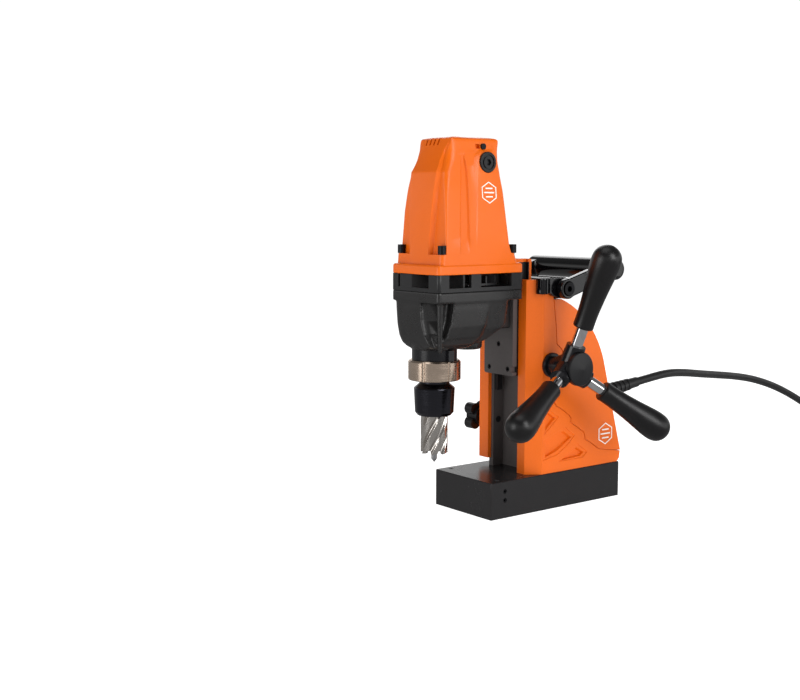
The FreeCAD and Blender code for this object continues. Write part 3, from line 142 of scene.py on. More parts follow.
def moulded(name, color, rough=0.4, spread=0.06, grain=1400.0, depth=0.00004, mottle=0.94,
            coat=0.0, specular=0.5):
    """Plastic or paint: slight colour clouds, a fine grain and uneven gloss."""
    graph = Graph(name)
    clouds = graph.ranged(graph.noise(22.0, 4.0), 0.0, 1.0)
    specks = graph.ranged(graph.noise(grain * 0.6, 2.0), 0.0, 0.35)
    tone = graph.mixed(clouds, shade(color, mottle), color)
    graph.into("Base Color", graph.mixed(specks, tone, shade(color, mottle * 0.93)))
    graph.into("Roughness", graph.ranged(graph.noise(70.0, 5.0), rough - spread, rough + spread))
    fine = graph.bump(graph.noise(grain, 2.0), depth)
    graph.into("Normal", graph.bump(graph.noise(130.0, 2.0), depth * 1.5, 0.5, fine))
    graph.set(Coat_Weight=coat, Coat_Roughness=0.08, Specular_IOR_Level=specular)
    return graph.material


def turned(name, color, rough=0.25, axis=2, pitch=0.35, depth=0.00002, tint=0.8):
    """Machined metal: fine tool marks along an axis, light stains and uneven gloss."""
    graph = Graph(name)
    scale = [18.0, 18.0, 18.0]
    scale[axis] = 1000.0 / pitch
    lines = graph.noise(1.0, 3.0, 0.6, graph.stretched(scale))
    stains = graph.ranged(graph.noise(60.0, 5.0), 0.0, 1.0, 0.35, 0.75)
    toned = graph.mixed(stains, color, shade(color, tint))
    graph.into("Base Color", graph.mixed(graph.ranged(lines, 0.0, 0.5), toned, shade(color, 0.72)))
    graph.into("Roughness", graph.ranged(lines, rough - 0.06, rough + 0.09))
    graph.into("Normal", graph.bump(lines, depth, 0.7))
    graph.set(Metallic=1.0)
    return graph.material


ORANGE = linear(230, 102, 6)
finishes = {
    "foot_steel": moulded("foot_paint", linear(38, 37, 38), rough=0.24, spread=0.04, grain=900.0,
                          depth=0.00001, mottle=0.9, specular=0.3),
    "coil_resin": moulded("coil_potting", linear(30, 28, 26), rough=0.6),
    "seal_resin": moulded("seal_potting", linear(34, 30, 26), rough=0.55),
    "black_steel": moulded("blackened_steel", linear(84, 79, 78), rough=0.36, spread=0.08,
                           grain=700.0, depth=0.00002, mottle=0.85, specular=0.3),
    "gib_steel": moulded("gib_steel", linear(26, 26, 27), rough=0.3, grain=700.0, depth=0.00002,
                         mottle=0.85),
    "orange_cast": moulded("orange_casting", ORANGE, spread=0.05, grain=1100.0, depth=0.00006,
                           specular=0.3),
    "orange_plastic": moulded("orange_moulding", ORANGE, rough=0.33, spread=0.05, grain=1600.0,
                              specular=0.35),
    "black_screws": turned("black_oxide", linear(46, 46, 48), rough=0.38, pitch=0.5),
    "electronics": moulded("potted_module", linear(24, 30, 30), rough=0.5),
    "black_plastic": moulded("black_moulding", linear(18, 18, 20), rough=0.36, spread=0.07,
                             grain=1300.0, depth=0.00005, mottle=0.88, specular=0.35),
    "gloss_black": moulded("gloss_black", linear(8, 8, 11), rough=0.14, spread=0.04, grain=500.0,
                           depth=0.00001, mottle=0.9, coat=0.3, specular=0.4),
    "rocker_red": moulded("rocker_red", linear(160, 24, 18), rough=0.25, spread=0.05, grain=900.0,
                          depth=0.00002, mottle=0.95, coat=0.3),
    "button_green": moulded("button_green", linear(36, 130, 60), rough=0.3),
    "button_red": moulded("button_red", linear(180, 30, 22), rough=0.3),
    "bush_black": moulded("blackened_bush", linear(20, 20, 23), rough=0.24, grain=800.0,
                          depth=0.00002, mottle=0.85, specular=0.4),
    # slide_steel is painted near black: painted shade that stands in for the shadowed gap at the slide
    # block's side beside the carriage plate
    "slide_steel": moulded("slide_steel", linear(22, 22, 23), rough=0.36, spread=0.08, grain=700.0,
                           depth=0.00002, mottle=0.85, specular=0.3),
    "gearbox_cast": moulded("gearbox_casting", linear(30, 29, 29), rough=0.3, grain=1000.0,
                            depth=0.00006, mottle=0.88),
    "vent_plastic": moulded("vent_moulding", linear(30, 30, 31), rough=0.36, grain=1300.0,
                            mottle=0.9, specular=0.4),
    "plain_steel": turned("plain_steel", linear(190, 190, 192), rough=0.28),
    "champagne_steel": turned("nickel_plate", linear(226, 204, 184), rough=0.22, pitch=0.5),
    "cutter_steel": turned("cutter_steel", linear(218, 212, 206), rough=0.2, pitch=0.6),
    "chuck_steel": turned("chuck_steel", linear(66, 66, 72), rough=0.2, pitch=0.6),
    "chrome_bar": turned("chrome_bar", linear(225, 225, 228), rough=0.1, axis=0, pitch=2.0,
                         depth=0.000004, tint=0.93),
    "grip_plastic": moulded("grip_plastic", linear(14, 13, 14), rough=0.34, spread=0.05,
                            grain=1500.0, depth=0.00003, mottle=0.88, specular=0.4),
    "winding": turned("winding", linear(150, 96, 60), rough=0.4, pitch=0.8),
    "carbon": moulded("pressed_carbon", linear(40, 40, 42), rough=0.6),
    "copper_bars": turned("copper_bars", linear(190, 120, 80), rough=0.3),
    "fan_plastic": moulded("fan_moulding", linear(34, 34, 36), rough=0.45),
    "cord_rubber": moulded("cord_rubber", linear(22, 22, 23), rough=0.45, grain=900.0,
                           depth=0.00003, mottle=0.88),
}

emblem_finish = moulded("foil_mark", linear(246, 240, 232), rough=0.3, spread=0.05, grain=800.0,
                        depth=0.00001, mottle=0.97)


def paint(obj, slot):
    """Gives an object one of the finishes."""
    obj.data.materials.clear()
    obj.data.materials.append(finishes[slot])


for row in frame["record"]["subparts"]:
    paint(nodes[row["node"]], row["material_slot"])


# ---------------------------------------------------------------- edges of the CAD pieces
def soften(name, width, angle=32.0, segments=2):
    """Rounds a CAD piece's sharp edges with modifiers; its own mesh stays as it is."""
    obj = nodes[name]
    weld = obj.modifiers.new("weld", "WELD")
    weld.merge_threshold = 0.000005
    flat = obj.modifiers.new("flat", "DECIMATE")
    flat.decimate_type = "DISSOLVE"
    flat.angle_limit = math.radians(0.4)
    bevel = obj.modifiers.new("bevel", "BEVEL")
    bevel.width = width
    bevel.segments = segments
    bevel.limit_method = "ANGLE"
    bevel.angle_limit = math.radians(angle)
    bevel.harden_normals = True
    bevel.use_clamp_overlap = True


# ---------------------------------------------------------------- mains lead
CORD_R = 0.004
COIL_RADIUS = 0.060
COIL_TURNS = 8.14
COIL_POINTS_PER_TURN = 16
RELIEF_END = Vector((20.0, 124.0, 103.7)) * MM
RELIEF_START = Vector((20.0, 66.0, 96.4)) * MM
COIL_CENTRE = Vector((0.048, 0.578, 0.0))


def coil_spot(turn):
    """Radius and height of the stored lead after that many turns: it spirals inwards on the floor and
    back outwards on top of that, then begins a third layer, and its end climbs to the plug."""
    layer = 2 * CORD_R

    def eased(start, stop):
        value = min(1.0, max(0.0, (turn - start) / (stop - start)))
        return value * value * (3 - 2 * value)
    radius, height = COIL_RADIUS, 0.0042
    for start in (0.7, 1.7, 2.7):
        radius -= layer * eased(start, start + 0.3)
    height += layer * eased(3.3, 3.6)
    for start in (3.7, 4.7, 5.7):
        radius += layer * eased(start, start + 0.3)
    height += layer * eased(6.3, 6.6)
    radius -= layer * eased(6.7, 7.0)
    radius -= 0.005 * eased(7.68, 7.92)
    height += 0.010 * eased(7.75, 8.1)
    radius += 0.0095 * eased(7.98, 8.18)
    height += 0.005 * eased(8.0, 8.18)
    return radius, height


def cord_points():
    """Start of the lead inside its relief, and every point after it up to the coil's end."""
    axis = (RELIEF_END - RELIEF_START).normalized()
    start = RELIEF_END - axis * 0.008
    free = [start] + [Vector(point) * MM for point in (
        (20.0, 143.4, 106.14), (17.4, 173.0, 108.2), (11.4, 204.0, 105.6),
        (3.2, 240.0, 100.4), (-8.5, 282.0, 94.6), (-20.5, 330.0, 88.0), (-29.0, 378.0, 79.5),
        (-31.0, 424.0, 66.0), (-26.5, 464.0, 47.0), (-20.5, 496.0, 26.5), (-15.5, 521.0, 11.0),
        (-12.6, 545.0, 4.6))]
    turns = []
    for step in range(int(COIL_TURNS * COIL_POINTS_PER_TURN) + 1):
        turn = step / COIL_POINTS_PER_TURN
        radius, height = coil_spot(turn)
        angle = math.pi - 2 * math.pi * turn
        spread = radius * 1.012
        turns.append(COIL_CENTRE + Vector((spread * math.cos(angle), spread * math.sin(angle), height)))
    return start, free + turns


def plug_line():
    """Where the lead enters the plug, and the plug's direction."""
    return COIL_CENTRE + Vector((-0.030, 0.048, 0.035)), Vector((1.0, 0.0, 0.0))


def make_cord():
    start, points = cord_points()
    entry, ahead = plug_line()
    points += [entry - ahead * 0.006, entry + ahead * 0.006]
    curve = bpy.data.curves.new("mains_lead", "CURVE")
    curve.dimensions = "3D"
    spline = curve.splines.new("NURBS")
    spline.points.add(len(points) - 1)
    for spot, point in zip(spline.points, points):
        spot.co = (point.x, point.y, point.z, 1.0)
    spline.order_u = 3
    spline.use_endpoint_u = True
    curve.resolution_u = 6
    curve.bevel_depth = CORD_R
    curve.bevel_resolution = 5
    curve.use_fill_caps = True
    cord = bpy.data.objects.new("mains_lead", curve)
    bpy.context.scene.collection.objects.link(cord)
    curve.materials.append(finishes["cord_rubber"])
    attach(cord, "stand")
    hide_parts("power_cord", "cord_coil")
    return cord


make_cord()


# ---------------------------------------------------------------- mesh helpers
# From here to the studio, shapes are in millimetres until they become meshes.
def reading(table, at):
    """Straight-line reading of rows (height, value)."""
    if at <= table[0][0]:
        return table[0][1]
    for (low, first), (high, second) in zip(table, table[1:]):
        if at <= high:
            return first + (second - first) * (at - low) / (high - low)
    return table[-1][1]


def column_of(table, index):
    return [(row[0], row[index]) for row in table]


def new_piece(name, verts, faces, slot, body, angle=30.0):
    """Mesh piece from millimetre corners, shaded smooth up to an angle, riding on a body."""
    mesh = bpy.data.meshes.new(name)
    mesh.from_pydata([Vector(v) * MM for v in verts], [], faces)
    work = bmesh.new()
    work.from_mesh(mesh)
    bmesh.ops.remove_doubles(work, verts=work.verts, dist=0.000002)
    bmesh.ops.recalc_face_normals(work, faces=work.faces)
    work.to_mesh(mesh)
    work.free()
    mesh.shade_smooth()
    mesh.set_sharp_from_angle(angle=math.radians(angle))
    obj = bpy.data.objects.new(name, mesh)
    bpy.context.scene.collection.objects.link(obj)
    mesh.materials.append(finishes[slot])
    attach(obj, body)
    return obj


def skin(rings, looped=False):
    """Corners and faces of a surface through rings that all have as many points."""
    count = len(rings[0])
    verts = [point for ring in rings for point in ring]
    faces = []
    pairs = list(zip(range(len(rings)), range(1, len(rings))))
    if looped:
        pairs.append((len(rings) - 1, 0))
    for low, high in pairs:
        for k in range(count):
            after = (k + 1) % count
            faces.append((low * count + k, low * count + after, high * count + after, high * count + k))
    if not looped:
        for ring in (0, len(rings) - 1):
            middle = sum((Vector(p) for p in rings[ring]), Vector()) / count
            verts.append(tuple(middle))
            hub = len(verts) - 1
            for k in range(count):
                faces.append((ring * count + k, ring * count + (k + 1) % count, hub))
    return verts, faces


def joined(*parts):
    """Several (corners, faces) sets as one."""
    verts, faces = [], []
    for some_verts, some_faces in parts:
        base = len(verts)
        verts += list(some_verts)
        faces += [tuple(base + k for k in face) for face in some_faces]
    return verts, faces


def brick(x, y, z):
    corners = [(a, b, c) for c in z for b in y for a in x]
    faces = [(0, 2, 3, 1), (4, 5, 7, 6), (0, 1, 5, 4), (2, 6, 7, 3), (0, 4, 6, 2), (1, 3, 7, 5)]
    return corners, faces


def round_bar(start, end, radius, sides=40):
    """Closed cylinder between two points."""
    start, end = Vector(start), Vector(end)
    turn = (end - start).to_track_quat("Z", "Y")
    angles = [2 * math.pi * k / sides for k in range(sides)]
    ring = [turn @ Vector((radius * math.cos(angle), radius * math.sin(angle), 0)) for angle in angles]
    return skin([[tuple(point + place) for point in ring] for place in (start, end)])


def rounded_ring(half, front, back, radius, z, per_corner=7):
    """Rounded rectangle at one height."""
    points = []
    for cx, cy, start in ((half - radius, front + radius, -90), (half - radius, back - radius, 0),
                          (-half + radius, back - radius, 90), (-half + radius, front + radius, 180)):
        for k in range(per_corner):
            angle = math.radians(start + 90 * k / (per_corner - 1))
            points.append((cx + radius * math.cos(angle), cy + radius * math.sin(angle), z))
    return points


def cut_away(obj, *parts):
    """Takes closed (corners, faces) shapes out of a piece with one exact boolean."""
    for number, (verts, faces) in enumerate(parts):
        mesh = bpy.data.meshes.new("cutter_%d" % number)
        mesh.from_pydata([Vector(v) * MM for v in verts], [], faces)
        work = bmesh.new()
        work.from_mesh(mesh)
        bmesh.ops.recalc_face_normals(work, faces=work.faces)
        work.to_mesh(mesh)
        work.free()
        tool = bpy.data.objects.new("cutter", mesh)
        bpy.context.scene.collection.objects.link(tool)
        modifier = obj.modifiers.new("cut", "BOOLEAN")
        modifier.operation = "DIFFERENCE"
        modifier.solver = "EXACT"
        modifier.object = tool
        depsgraph = bpy.context.evaluated_depsgraph_get()
        result = bpy.data.meshes.new_from_object(obj.evaluated_get(depsgraph))
        obj.modifiers.remove(modifier)
        obj.data = result
        bpy.data.objects.remove(tool)


def resharpen(obj, angle=30.0):
    obj.data.shade_smooth()
    obj.data.set_sharp_from_angle(angle=math.radians(angle))


# ---------------------------------------------------------------- motor hood
CAP_Y, CAP_Z = -77.0, 312.0
HOOD_MIDDLE_Y = -87.5
SKIRT_HALF, SKIRT_FRONT, SKIRT_BACK = 32.8, -136.2, -39.8
SLIT_X = (-10.6, -5.2, 0.2, 5.6)
# height, half width, front, back
HOOD = [(216.7, 32.0, -134.0, -43.6), (225.2, 32.0, -132.2, -45.0), (240.0, 31.3, -131.4, -50.0),
        (270.0, 29.3, -130.3, -53.2), (290.0, 27.1, -128.5, -54.6), (303.5, 25.2, -126.6, -56.0),
        (313.0, 23.8, -121.4, -57.6), (322.0, 22.5, -117.2, -59.2), (331.5, 21.4, -113.0, -61.0),
        (334.0, 20.8, -111.6, -61.8)]
# height, value: the channels down the front and back corners
CHANNEL_EDGE = [(225.0, 12.6), (234.0, 13.0), (257.0, 14.6), (283.0, 16.5), (303.5, 17.6),
                (313.0, 15.8), (322.0, 16.2), (328.0, 18.6), (333.0, 19.6)]
CHANNEL_DEPTH = [(233.9, 0.0), (234.1, 4.9), (262.0, 4.9), (287.0, 4.4), (303.5, 3.9),
                 (313.0, 2.8), (322.0, 1.3), (330.0, 0.2), (333.0, 0.0)]
CORNER = [(225.0, 4.4), (233.9, 4.4), (234.1, 1.5), (262.0, 1.9), (285.0, 3.0), (303.0, 5.5),
          (315.0, 8.0), (322.0, 7.0), (333.0, 4.0)]
# height, front edge, back edge of the groove in each side
GROOVE = [(235.0, -111.8, -101.5), (278.5, -108.4, -100.6), (305.0, -105.5, -99.8),
          (314.0, -104.4, -101.2), (320.0, -103.0, -102.6)]
# height, value: the raised pad around each brush cap
PAD_RISE = [(238.0, 0.0), (250.0, 0.5), (290.0, 1.0), (303.0, 1.5), (318.0, 1.9), (321.0, 1.7),
            (323.2, 0.0)]
PAD_EDGE = [(238.0, -93.0), (278.0, -90.6), (300.0, -88.8), (314.0, -87.3), (319.0, -85.0),
            (323.0, -80.0)]
PAD_SLOPE = [(238.0, 0.8), (285.0, 1.0), (303.0, 3.4), (323.0, 3.8)]


def hood_half(z):
    """Right half of the hood's outline at one height, from the front centre to the back centre:
    crowned front, channel, corner, grooved side with its pad, corner, channel and crown."""
    half, front, back = (reading(column_of(HOOD, k), z) for k in (1, 2, 3))
    edge, depth, corner = reading(CHANNEL_EDGE, z), reading(CHANNEL_DEPTH, z), reading(CORNER, z)
    wall = 0.35 * depth
    edge = min(edge, half - 2.4 - wall)
    floor, rear_floor = front + depth, back - depth
    start = edge + wall + 1.2
    across = min(corner, half - start - 0.4)
    lip = 0.2 * min(3, depth)

    def corner_arc(centre_y, turn):
        arc = []
        for k in range(7):
            angle = math.radians(90 * k / 6)
            arc.append((half - across + across * math.sin(angle),
                        centre_y - turn * corner * math.cos(angle)))
        return arc

    groove_depth = 1.1 * reading([(234.0, 0.0), (246.0, 1.0), (312.0, 1.0), (320.0, 0.0)], z)
    groove_low, groove_high = (reading(column_of(GROOVE, k), z) for k in (1, 2))
    groove_low = max(groove_low, floor + corner + 0.9)
    groove_high = max(groove_high, groove_low + 2.0)
    groove_low, groove_high = groove_low - 0.5, groove_high + 0.5

    def in_groove(share):
        return groove_low + share * (groove_high - groove_low)

    rise, slope, pad_front = reading(PAD_RISE, z), reading(PAD_SLOPE, z), reading(PAD_EDGE, z)
    pad_back = rear_floor - corner - 0.6
    crown = 0.7
    shallow = 0.08 * min(1, depth)
    front_part = [(0.0, front - crown), (edge * 0.35, front - crown * 0.86),
                  (edge * 0.7, front - crown * 0.45), (edge - 1.1, front - 0.05),
                  (edge - 0.35, front + shallow), (edge, front + lip),
                  (edge + wall * 0.8, floor - lip), (edge + wall + 0.3, floor - shallow),
                  (edge + wall + 1.0, floor)]
    lift = 0.3 * groove_depth
    side = [(half, in_groove(-0.05)), (half + lift, in_groove(0.0)),
            (half - 0.3 * groove_depth, in_groove(0.05)),
            (half - groove_depth, in_groove(0.16)), (half - groove_depth, in_groove(0.84)),
            (half - 0.3 * groove_depth, in_groove(0.95)),
            (half + lift, in_groove(1.0)), (half, in_groove(1.05)),
            (half, max(pad_front - slope - 0.3, groove_high + 0.9)),
            (half + 0.1 * rise, max(pad_front - slope, groove_high + 1.2)),
            (half + 0.9 * rise, pad_front),
            (half + rise, pad_front + 0.5), (half + rise, CAP_Y),
            (half + 0.8 * rise, (pad_back + CAP_Y) / 2),
            (half + 0.1 * rise, pad_back)]
    rear_part = [(edge + wall + 1.0, rear_floor), (edge + wall + 0.3, rear_floor + shallow),
                 (edge + wall * 0.8, rear_floor + lip), (edge, back - lip),
                 (edge - 0.35, back - shallow), (edge - 1.1, back + 0.05), (edge * 0.7, back + 0.3),
                 (edge * 0.35, back + 0.5), (0.0, back + 0.55)]
    rear_arc = list(reversed(corner_arc(rear_floor - corner, -1)))
    return front_part + corner_arc(floor + corner, 1) + side + rear_arc + rear_part


def mirrored_ring(half_points, z):
    """Whole outline from its right half."""
    right = [(x, y, z) for x, y in half_points]
    left = [(-x, y, z) for x, y in reversed(half_points[1:-1])]
    return right + left


def motor_hood():
    """Orange hood: a skin through its outlines, hollowed, with slits, clip pockets and cap holes."""
    top = 330.4
    heights = [217.0, 221.0, 225.0, 229.0, 232.0, 233.9, 234.1, 235.0, 238.0, 242.0, 246.0, 250.0]
    heights += [254.0 + 4.0 * k for k in range(12)]
    heights += [300.5, 302.0, 303.0, 304.0, 305.5, 308.0, 311.0, 314.0]
    heights += [317.0, 319.0, 320.5, 321.5, 322.4, 323.2, 324.5, 326.5, 328.5, top]
    rings = [mirrored_ring(hood_half(z), z) for z in heights]
    for z, inset in ((331.6, 0.5), (332.4, 1.6), (333.0, 4.0), (333.5, 8.0), (333.9, 14.0)):
        ring = []
        for x, y, _ in mirrored_ring(hood_half(top), z):
            away = Vector((-x, HOOD_MIDDLE_Y - y))
            pull = away.normalized() * min(inset, away.length * 0.8)
            ring.append((x + pull.x, y + pull.y, z))
        rings.append(ring)
    body = skin(rings)
    skirt_rows = [(216.8, 0.5), (217.3, 0.0), (223.4, 0.0), (224.0, 0.15), (225.0, 0.9), (225.4, 2.2)]
    outer = [rounded_ring(SKIRT_HALF - inset, SKIRT_FRONT + inset, SKIRT_BACK - inset, 3.4, z)
             for z, inset in skirt_rows]
    inner = [rounded_ring(29.4, -131.4, -44.2, 2.5, z) for z in (224.0, 216.8)]
    obj = new_piece("motor_hood_skin", *body, "orange_plastic", "carriage", 28.0)
    inside = ((29.2, -129.6, -47.2, 216.0), (28.6, -125.0, -54.6, 233.0), (24.5, -122.5, -58.6, 270.0),
              (20.0, -118.0, -62.0, 303.0), (16.0, -110.0, -66.5, 330.0))
    hollow = skin([rounded_ring(half, front, back, 3.0, z) for half, front, back, z in inside])
    slits = [brick((x - 0.9, x + 0.9), (-122.0, -105.0), (326.4, 336.0)) for x in SLIT_X]
    pockets = [brick(tuple(sorted((side * 18.6, side * 28.0))), (-87.6, -82.8), (323.6, 327.4))
               for side in (-1, 1)]
    cap_holes = [round_bar((side * 17.0, CAP_Y, CAP_Z), (side * 32.0, CAP_Y, CAP_Z), 9.1)
                 for side in (-1, 1)]
    cut_away(obj, hollow, joined(*slits), joined(*pockets), joined(*cap_holes))
    resharpen(obj, 28.0)
    new_piece("hood_skirt", *skin(outer + inner, looped=True), "orange_plastic", "carriage", 32.0)
    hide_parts("motor_hood")


def hood_side(z):
    """How far out the hood's side pad is at a height."""
    return reading(column_of(HOOD, 1), z) + reading(PAD_RISE, z)


def bar_outline(start, end, half_width):
    """Corners of a flat bar between two points."""
    (ax, ay), (bx, by) = start, end
    along = Vector((bx - ax, by - ay)).normalized() * half_width
    return [(ax - along.y, ay + along.x), (ax + along.y, ay - along.x),
            (bx + along.y, by - along.x), (bx - along.y, by + along.x)]


def emblem(name, centre, radius, surface, body):
    """Raised mark of no maker: a hexagon outline around three level bars."""
    def ring_part(k, inner, outer):
        start, end = math.radians(60 * k + 30), math.radians(60 * k + 90)
        return [(r * math.cos(a), r * math.sin(a)) for r, a in
                ((inner, start), (outer, start), (outer, end), (inner, end))]

    outlines = [ring_part(k, radius * 0.9, radius) for k in range(6)]
    for level, reach in ((0.38, 0.42), (0.0, 0.6), (-0.38, 0.42)):
        outlines.append(bar_outline((-reach * radius, level * radius),
                                    (reach * radius, level * radius), radius * 0.06))
    sunk, proud = -0.4, 0.22
    parts = []
    for outline in outlines:
        parts.append(skin([[(surface(centre[1] + v) + off, centre[0] + u, centre[1] + v)
                            for u, v in outline] for off in (sunk, proud)]))
    new_piece(name, *joined(*parts), "plain_steel", body, 20.0).data.materials[0] = emblem_finish


# ---------------------------------------------------------------- core cutter
def core_cutter():
    """Annular cutter with seven right-hand spiral flutes and ground teeth."""
    axis_y, outer, inner, low, high = -114.0, 11.95, 9.0, 58.9, 93.0
    teeth, lead = 7, 0.0475
    around, levels = 252, 46

    def place(radius, angle, z):
        return (radius * math.cos(angle), axis_y + radius * math.sin(angle), z)

    def phase(angle, z):
        """Place within one flute's pitch, from 0 to 1."""
        return ((angle - lead * (z - low)) * teeth / (2 * math.pi)) % 1.0

    def wall(angle, z):
        """Radius of the fluted outside."""
        part = phase(angle, z)
        if part < 0.60:
            depth = 0.22 * part
        elif part < 0.66:
            depth = 0.13 + 1.75 * (part - 0.60) / 0.06
        elif part < 0.80:
            depth = 1.88
        else:
            depth = 1.88 * (1 - (part - 0.80) / 0.20) ** 0.7
        return outer - depth

    def rim(angle):
        """Height of the toothed lower edge."""
        part = phase(angle, low)
        if part < 0.52:
            return low + 1.5 * part
        if part < 0.62:
            return low + 0.8 + 24.0 * (part - 0.52)
        if part < 0.88:
            return low + 3.2
        return low + 3.2 * (1 - (part - 0.88) / 0.12) ** 1.2

    def on_wall(angle, share):
        z = rim(angle) + share * (high - rim(angle))
        return place(wall(angle, z), angle, z)

    angles = [2 * math.pi * k / around for k in range(around)]
    rings = [[on_wall(a, level / levels) for a in angles] for level in range(levels + 1)]
    shank, shank_top, pilot_bore, floor = 9.5, 116.5, 2.6, 84.5
    for radius, z in ((shank, high), (shank, shank_top), (pilot_bore, shank_top),
                      (pilot_bore, floor), (inner, floor)):
        rings.append([place(radius, a, z) for a in angles])
    rings.append([place(inner, a, rim(a) + 1.6) for a in angles])
    rings.append([place(inner + 0.35, a, rim(a) + 0.25) for a in angles])
    obj = new_piece("spiral_cutter", *skin(rings, looped=True), "cutter_steel", "spindle", 24.0)
    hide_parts("core_cutter")


# ---------------------------------------------------------------- cast pieces
def applied(obj):
    """Bakes an object's modifiers into its mesh."""
    depsgraph = bpy.context.evaluated_depsgraph_get()
    result = bpy.data.meshes.new_from_object(obj.evaluated_get(depsgraph))
    obj.modifiers.clear()
    obj.data = result


def gridded(obj, voxel, smoothing):
    """One even voxel skin of a piece, with its edges eased by the smoothing steps."""
    remesh = obj.modifiers.new("grid", "REMESH")
    remesh.mode = "VOXEL"
    remesh.voxel_size = voxel * MM
    remesh.adaptivity = 0.0
    if smoothing:
        ease = obj.modifiers.new("ease", "SMOOTH")
        ease.factor = 0.5
        ease.iterations = smoothing
    applied(obj)


def add_shapes(obj, shapes):
    """Puts closed (corners, faces) shapes into a piece's mesh; a later voxel skin unites them."""
    work = bmesh.new()
    work.from_mesh(obj.data)
    for verts, faces in shapes:
        corners = [work.verts.new(Vector(v) * MM) for v in verts]
        made = [work.faces.new([corners[k] for k in face]) for face in faces]
        bmesh.ops.recalc_face_normals(work, faces=made)
    work.to_mesh(obj.data)
    work.free()


def cast(name, slot, voxel=0.7, smoothing=4, added=(), removed=(), late=()):
    """Copy of a CAD node with its edges rounded the way a casting's are, on the same body.

    added shapes are united with it, removed shapes cut out of that, and late shapes put back in.
    """
    source = nodes[name]
    obj = bpy.data.objects.new(name + "_casting", source.data.copy())
    bpy.context.scene.collection.objects.link(obj)
    add_shapes(obj, added)
    if removed:
        gridded(obj, voxel, 0)
        cut_away(obj, *removed)
        add_shapes(obj, late)
    gridded(obj, voxel, smoothing)
    paint(obj, slot)
    obj.data.shade_smooth()
    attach(obj, source["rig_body"])
    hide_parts(name)
    return obj


def gearbox():
    """Gearbox casting with its rounded belly, the open corner and the boss inside it."""
    # height, half width, front, back, corner radius
    belly = [(151.6, 20.0, -131.0, -92.0, 12.0), (153.2, 23.4, -132.6, -88.0, 11.6),
             (156.5, 27.2, -134.2, -84.0, 11.0), (162.0, 30.0, -135.0, -80.0, 10.4),
             (172.0, 31.6, -135.6, -76.0, 9.6), (186.0, 32.3, -135.8, -72.0, 9.0),
             (192.8, 32.5, -135.9, -70.0, 9.0)]
    shell = skin([rounded_ring(half, front, back, radius, z)
                  for z, half, front, back, radius in belly])
    far_x, far_y = 41.0, -141.0
    # height, left edge, back edge of the open corner
    pocket = [(192.7, 7.7, -117.4), (177.0, 9.0, -119.4), (165.5, 12.4, -122.6), (153.0, 20.5, -128.5)]
    corner = skin([[(left, far_y, z), (left, -134.0, z), (left + 2.0, -130.4, z),
                    (left + 8.5, back - 3.5, z), (left + 15.0, back - 1.6, z), (far_x, back, z),
                    (far_x, far_y, z)] for z, left, back in pocket])
    boss_x, boss_y, boss_sides = 26.6, -129.2, 10
    turns = [0.2 * math.pi * k for k in range(boss_sides)]
    boss = skin([[(boss_x + radius * math.cos(turn), boss_y + radius * math.sin(turn), z)
                  for turn in turns] for z, radius in ((150.5, 1.7), (193.5, 3.3))])
    thin_rib = brick((22.8, 24.0), (-128.0, -118.0), (152.0, 193.5))
    cast("gearbox_housing", "gearbox_cast", 0.7, 4, [shell], [corner], [boss, thin_rib])


def handle_bracket():
    """Bracket across the casting's top with a round boss at each front corner."""
    bosses = [round_bar((side * 38.0, -21.6, 197.0), (side * 38.0, -21.6, 211.4), 6.0)
              for side in (-1, 1)]
    cast("handle_bracket", "gloss_black", 0.6, 5, bosses)


def cover_side(z):
    """How far out the right cover's flat face is; it is the same at every height."""
    return 38.0


motor_hood()
core_cutter()
emblem("hood_mark", (-77.2, 286.2), 9.4, hood_side, "carriage")
emblem("cover_mark", (62.4, 61.8), 10.4, cover_side, "stand")
gearbox()
handle_bracket()
cast("carry_handle", "gloss_black", 0.8, 5)
EDGES = {"stand_casting": 0.7, "right_cover": 0.8, "left_cover": 0.8, "vent_ring": 0.35,
         "magnet_foot": 0.5, "slide_cap": 0.4, "carriage_plate": 0.5, "slide_block": 0.4,
         "column": 0.5, "switch_panel": 0.5}
for name, width in EDGES.items():
    soften(name, width * MM)


# ---------------------------------------------------------------- studio
FLOOR_HALF = 30.0
LIGHT_TARGET = (0.0, -0.02, 0.17)
# name, place, width and height, power
LIGHTS = [("key", (1.5, 0.1, 0.8), (0.8, 1.1), 14.0), ("fill", (-0.1, -1.8, 0.4), (0.9, 0.9), 8.0),
          ("top", (0.1, -0.3, 1.9), (1.3, 1.3), 6.0), ("rim", (-1.3, 1.0, 1.1), (1.0, 1.0), 6.0),
          ("side_card", (1.2, 0.95, 0.25), (0.9, 0.7), 1.8)]
# upward direction, brightness: a bright band just above the horizon, dim overhead
ROOM_LOW, ROOM_HIGH = 0.3, 0.14
ROOM_BAND = [(0.02, 0.34), (0.06, 0.85), (0.24, 0.75), (0.4, 0.14)]
BACKDROP = 1.05


def grey(level):
    return (level, level, level, 1.0)


def area_light(name, place, size, power):
    """Rectangular white light turned towards the machine."""
    light = bpy.data.lights.new(name, "AREA")
    light.shape = "RECTANGLE"
    light.size, light.size_y = size
    light.energy = power
    obj = bpy.data.objects.new(name, light)
    obj.location = place
    toward = Vector(LIGHT_TARGET) - Vector(place)
    obj.rotation_euler = toward.to_track_quat("-Z", "Y").to_euler()
    bpy.context.scene.collection.objects.link(obj)


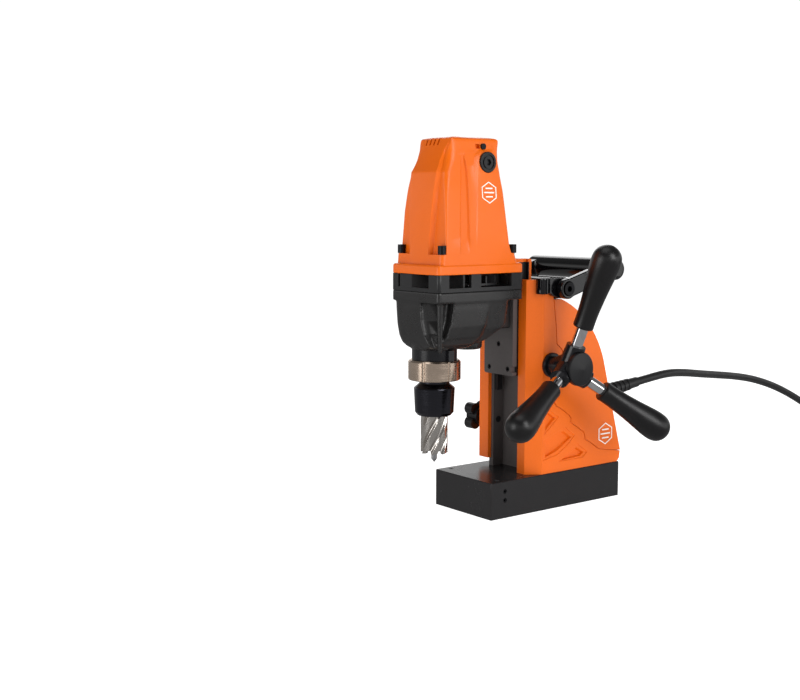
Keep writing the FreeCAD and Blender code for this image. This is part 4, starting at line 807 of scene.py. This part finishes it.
def white_floor():
    """Matt floor with its own glow, so that it reads as the white backdrop."""
    mesh = bpy.data.meshes.new("floor")
    corners = [(-FLOOR_HALF, -FLOOR_HALF, 0), (FLOOR_HALF, -FLOOR_HALF, 0),
               (FLOOR_HALF, FLOOR_HALF, 0), (-FLOOR_HALF, FLOOR_HALF, 0)]
    mesh.from_pydata(corners, [], [(0, 1, 2, 3)])
    floor = bpy.data.objects.new("floor", mesh)
    bpy.context.scene.collection.objects.link(floor)
    graph = Graph("floor_paint")
    graph.into("Base Color", graph.mixed(graph.noise(3.0), grey(0.62), grey(0.6)))
    graph.set(Roughness=0.9, Specular_IOR_Level=0.0, Emission_Color=grey(1.0), Emission_Strength=0.95)
    mesh.materials.append(graph.material)
    floor.visible_glossy = False


def room():
    """World: a graded room for light and reflections, and plain white for the camera."""
    world = bpy.data.worlds.new("studio")
    world.use_nodes = True
    tree = world.node_tree
    lit = tree.nodes["Background"]
    direction = tree.nodes.new("ShaderNodeSeparateXYZ")
    tree.links.new(tree.nodes.new("ShaderNodeTexCoord").outputs["Generated"], direction.inputs[0])
    ramp = tree.nodes.new("ShaderNodeValToRGB")
    stops = ramp.color_ramp.elements
    stops[0].position, stops[0].color = 0.0, grey(ROOM_LOW)
    stops[1].position, stops[1].color = 1.0, grey(ROOM_HIGH)
    for place, level in ROOM_BAND:
        stop = stops.new(place)
        stop.color = grey(level)
    tree.links.new(direction.outputs["Z"], ramp.inputs["Fac"])
    tree.links.new(ramp.outputs["Color"], lit.inputs["Color"])
    lit.inputs["Strength"].default_value = 1.0
    seen = tree.nodes.new("ShaderNodeBackground")
    seen.inputs["Color"].default_value = grey(1.0)
    seen.inputs["Strength"].default_value = BACKDROP
    path = tree.nodes.new("ShaderNodeLightPath")
    choice = tree.nodes.new("ShaderNodeMixShader")
    tree.links.new(path.outputs["Is Camera Ray"], choice.inputs[0])
    tree.links.new(lit.outputs[0], choice.inputs[1])
    tree.links.new(seen.outputs[0], choice.inputs[2])
    tree.links.new(choice.outputs[0], tree.nodes["World Output"].inputs["Surface"])
    bpy.context.scene.world = world


CAMERA_PLACE = (0.8152, -0.7660, 0.2706)
CAMERA_AZIMUTH, CAMERA_ELEVATION = 53.0, 6.6
CAMERA_LENS, CAMERA_SENSOR = 54.11, 36.0


def camera():
    data = bpy.data.cameras.new("camera")
    data.sensor_fit = "HORIZONTAL"
    data.sensor_width = CAMERA_SENSOR
    data.lens = CAMERA_LENS
    data.clip_start = 0.01
    data.clip_end = 100.0
    obj = bpy.data.objects.new("camera", data)
    obj.location = CAMERA_PLACE
    elevation, azimuth = math.radians(CAMERA_ELEVATION), math.radians(CAMERA_AZIMUTH)
    obj.rotation_euler = (math.pi / 2 - elevation, 0.0, azimuth)
    bpy.context.scene.collection.objects.link(obj)
    bpy.context.scene.camera = obj


white_floor()
room()
for light in LIGHTS:
    area_light(*light)
camera()
bpy.context.scene.view_settings.view_transform = "Standard"
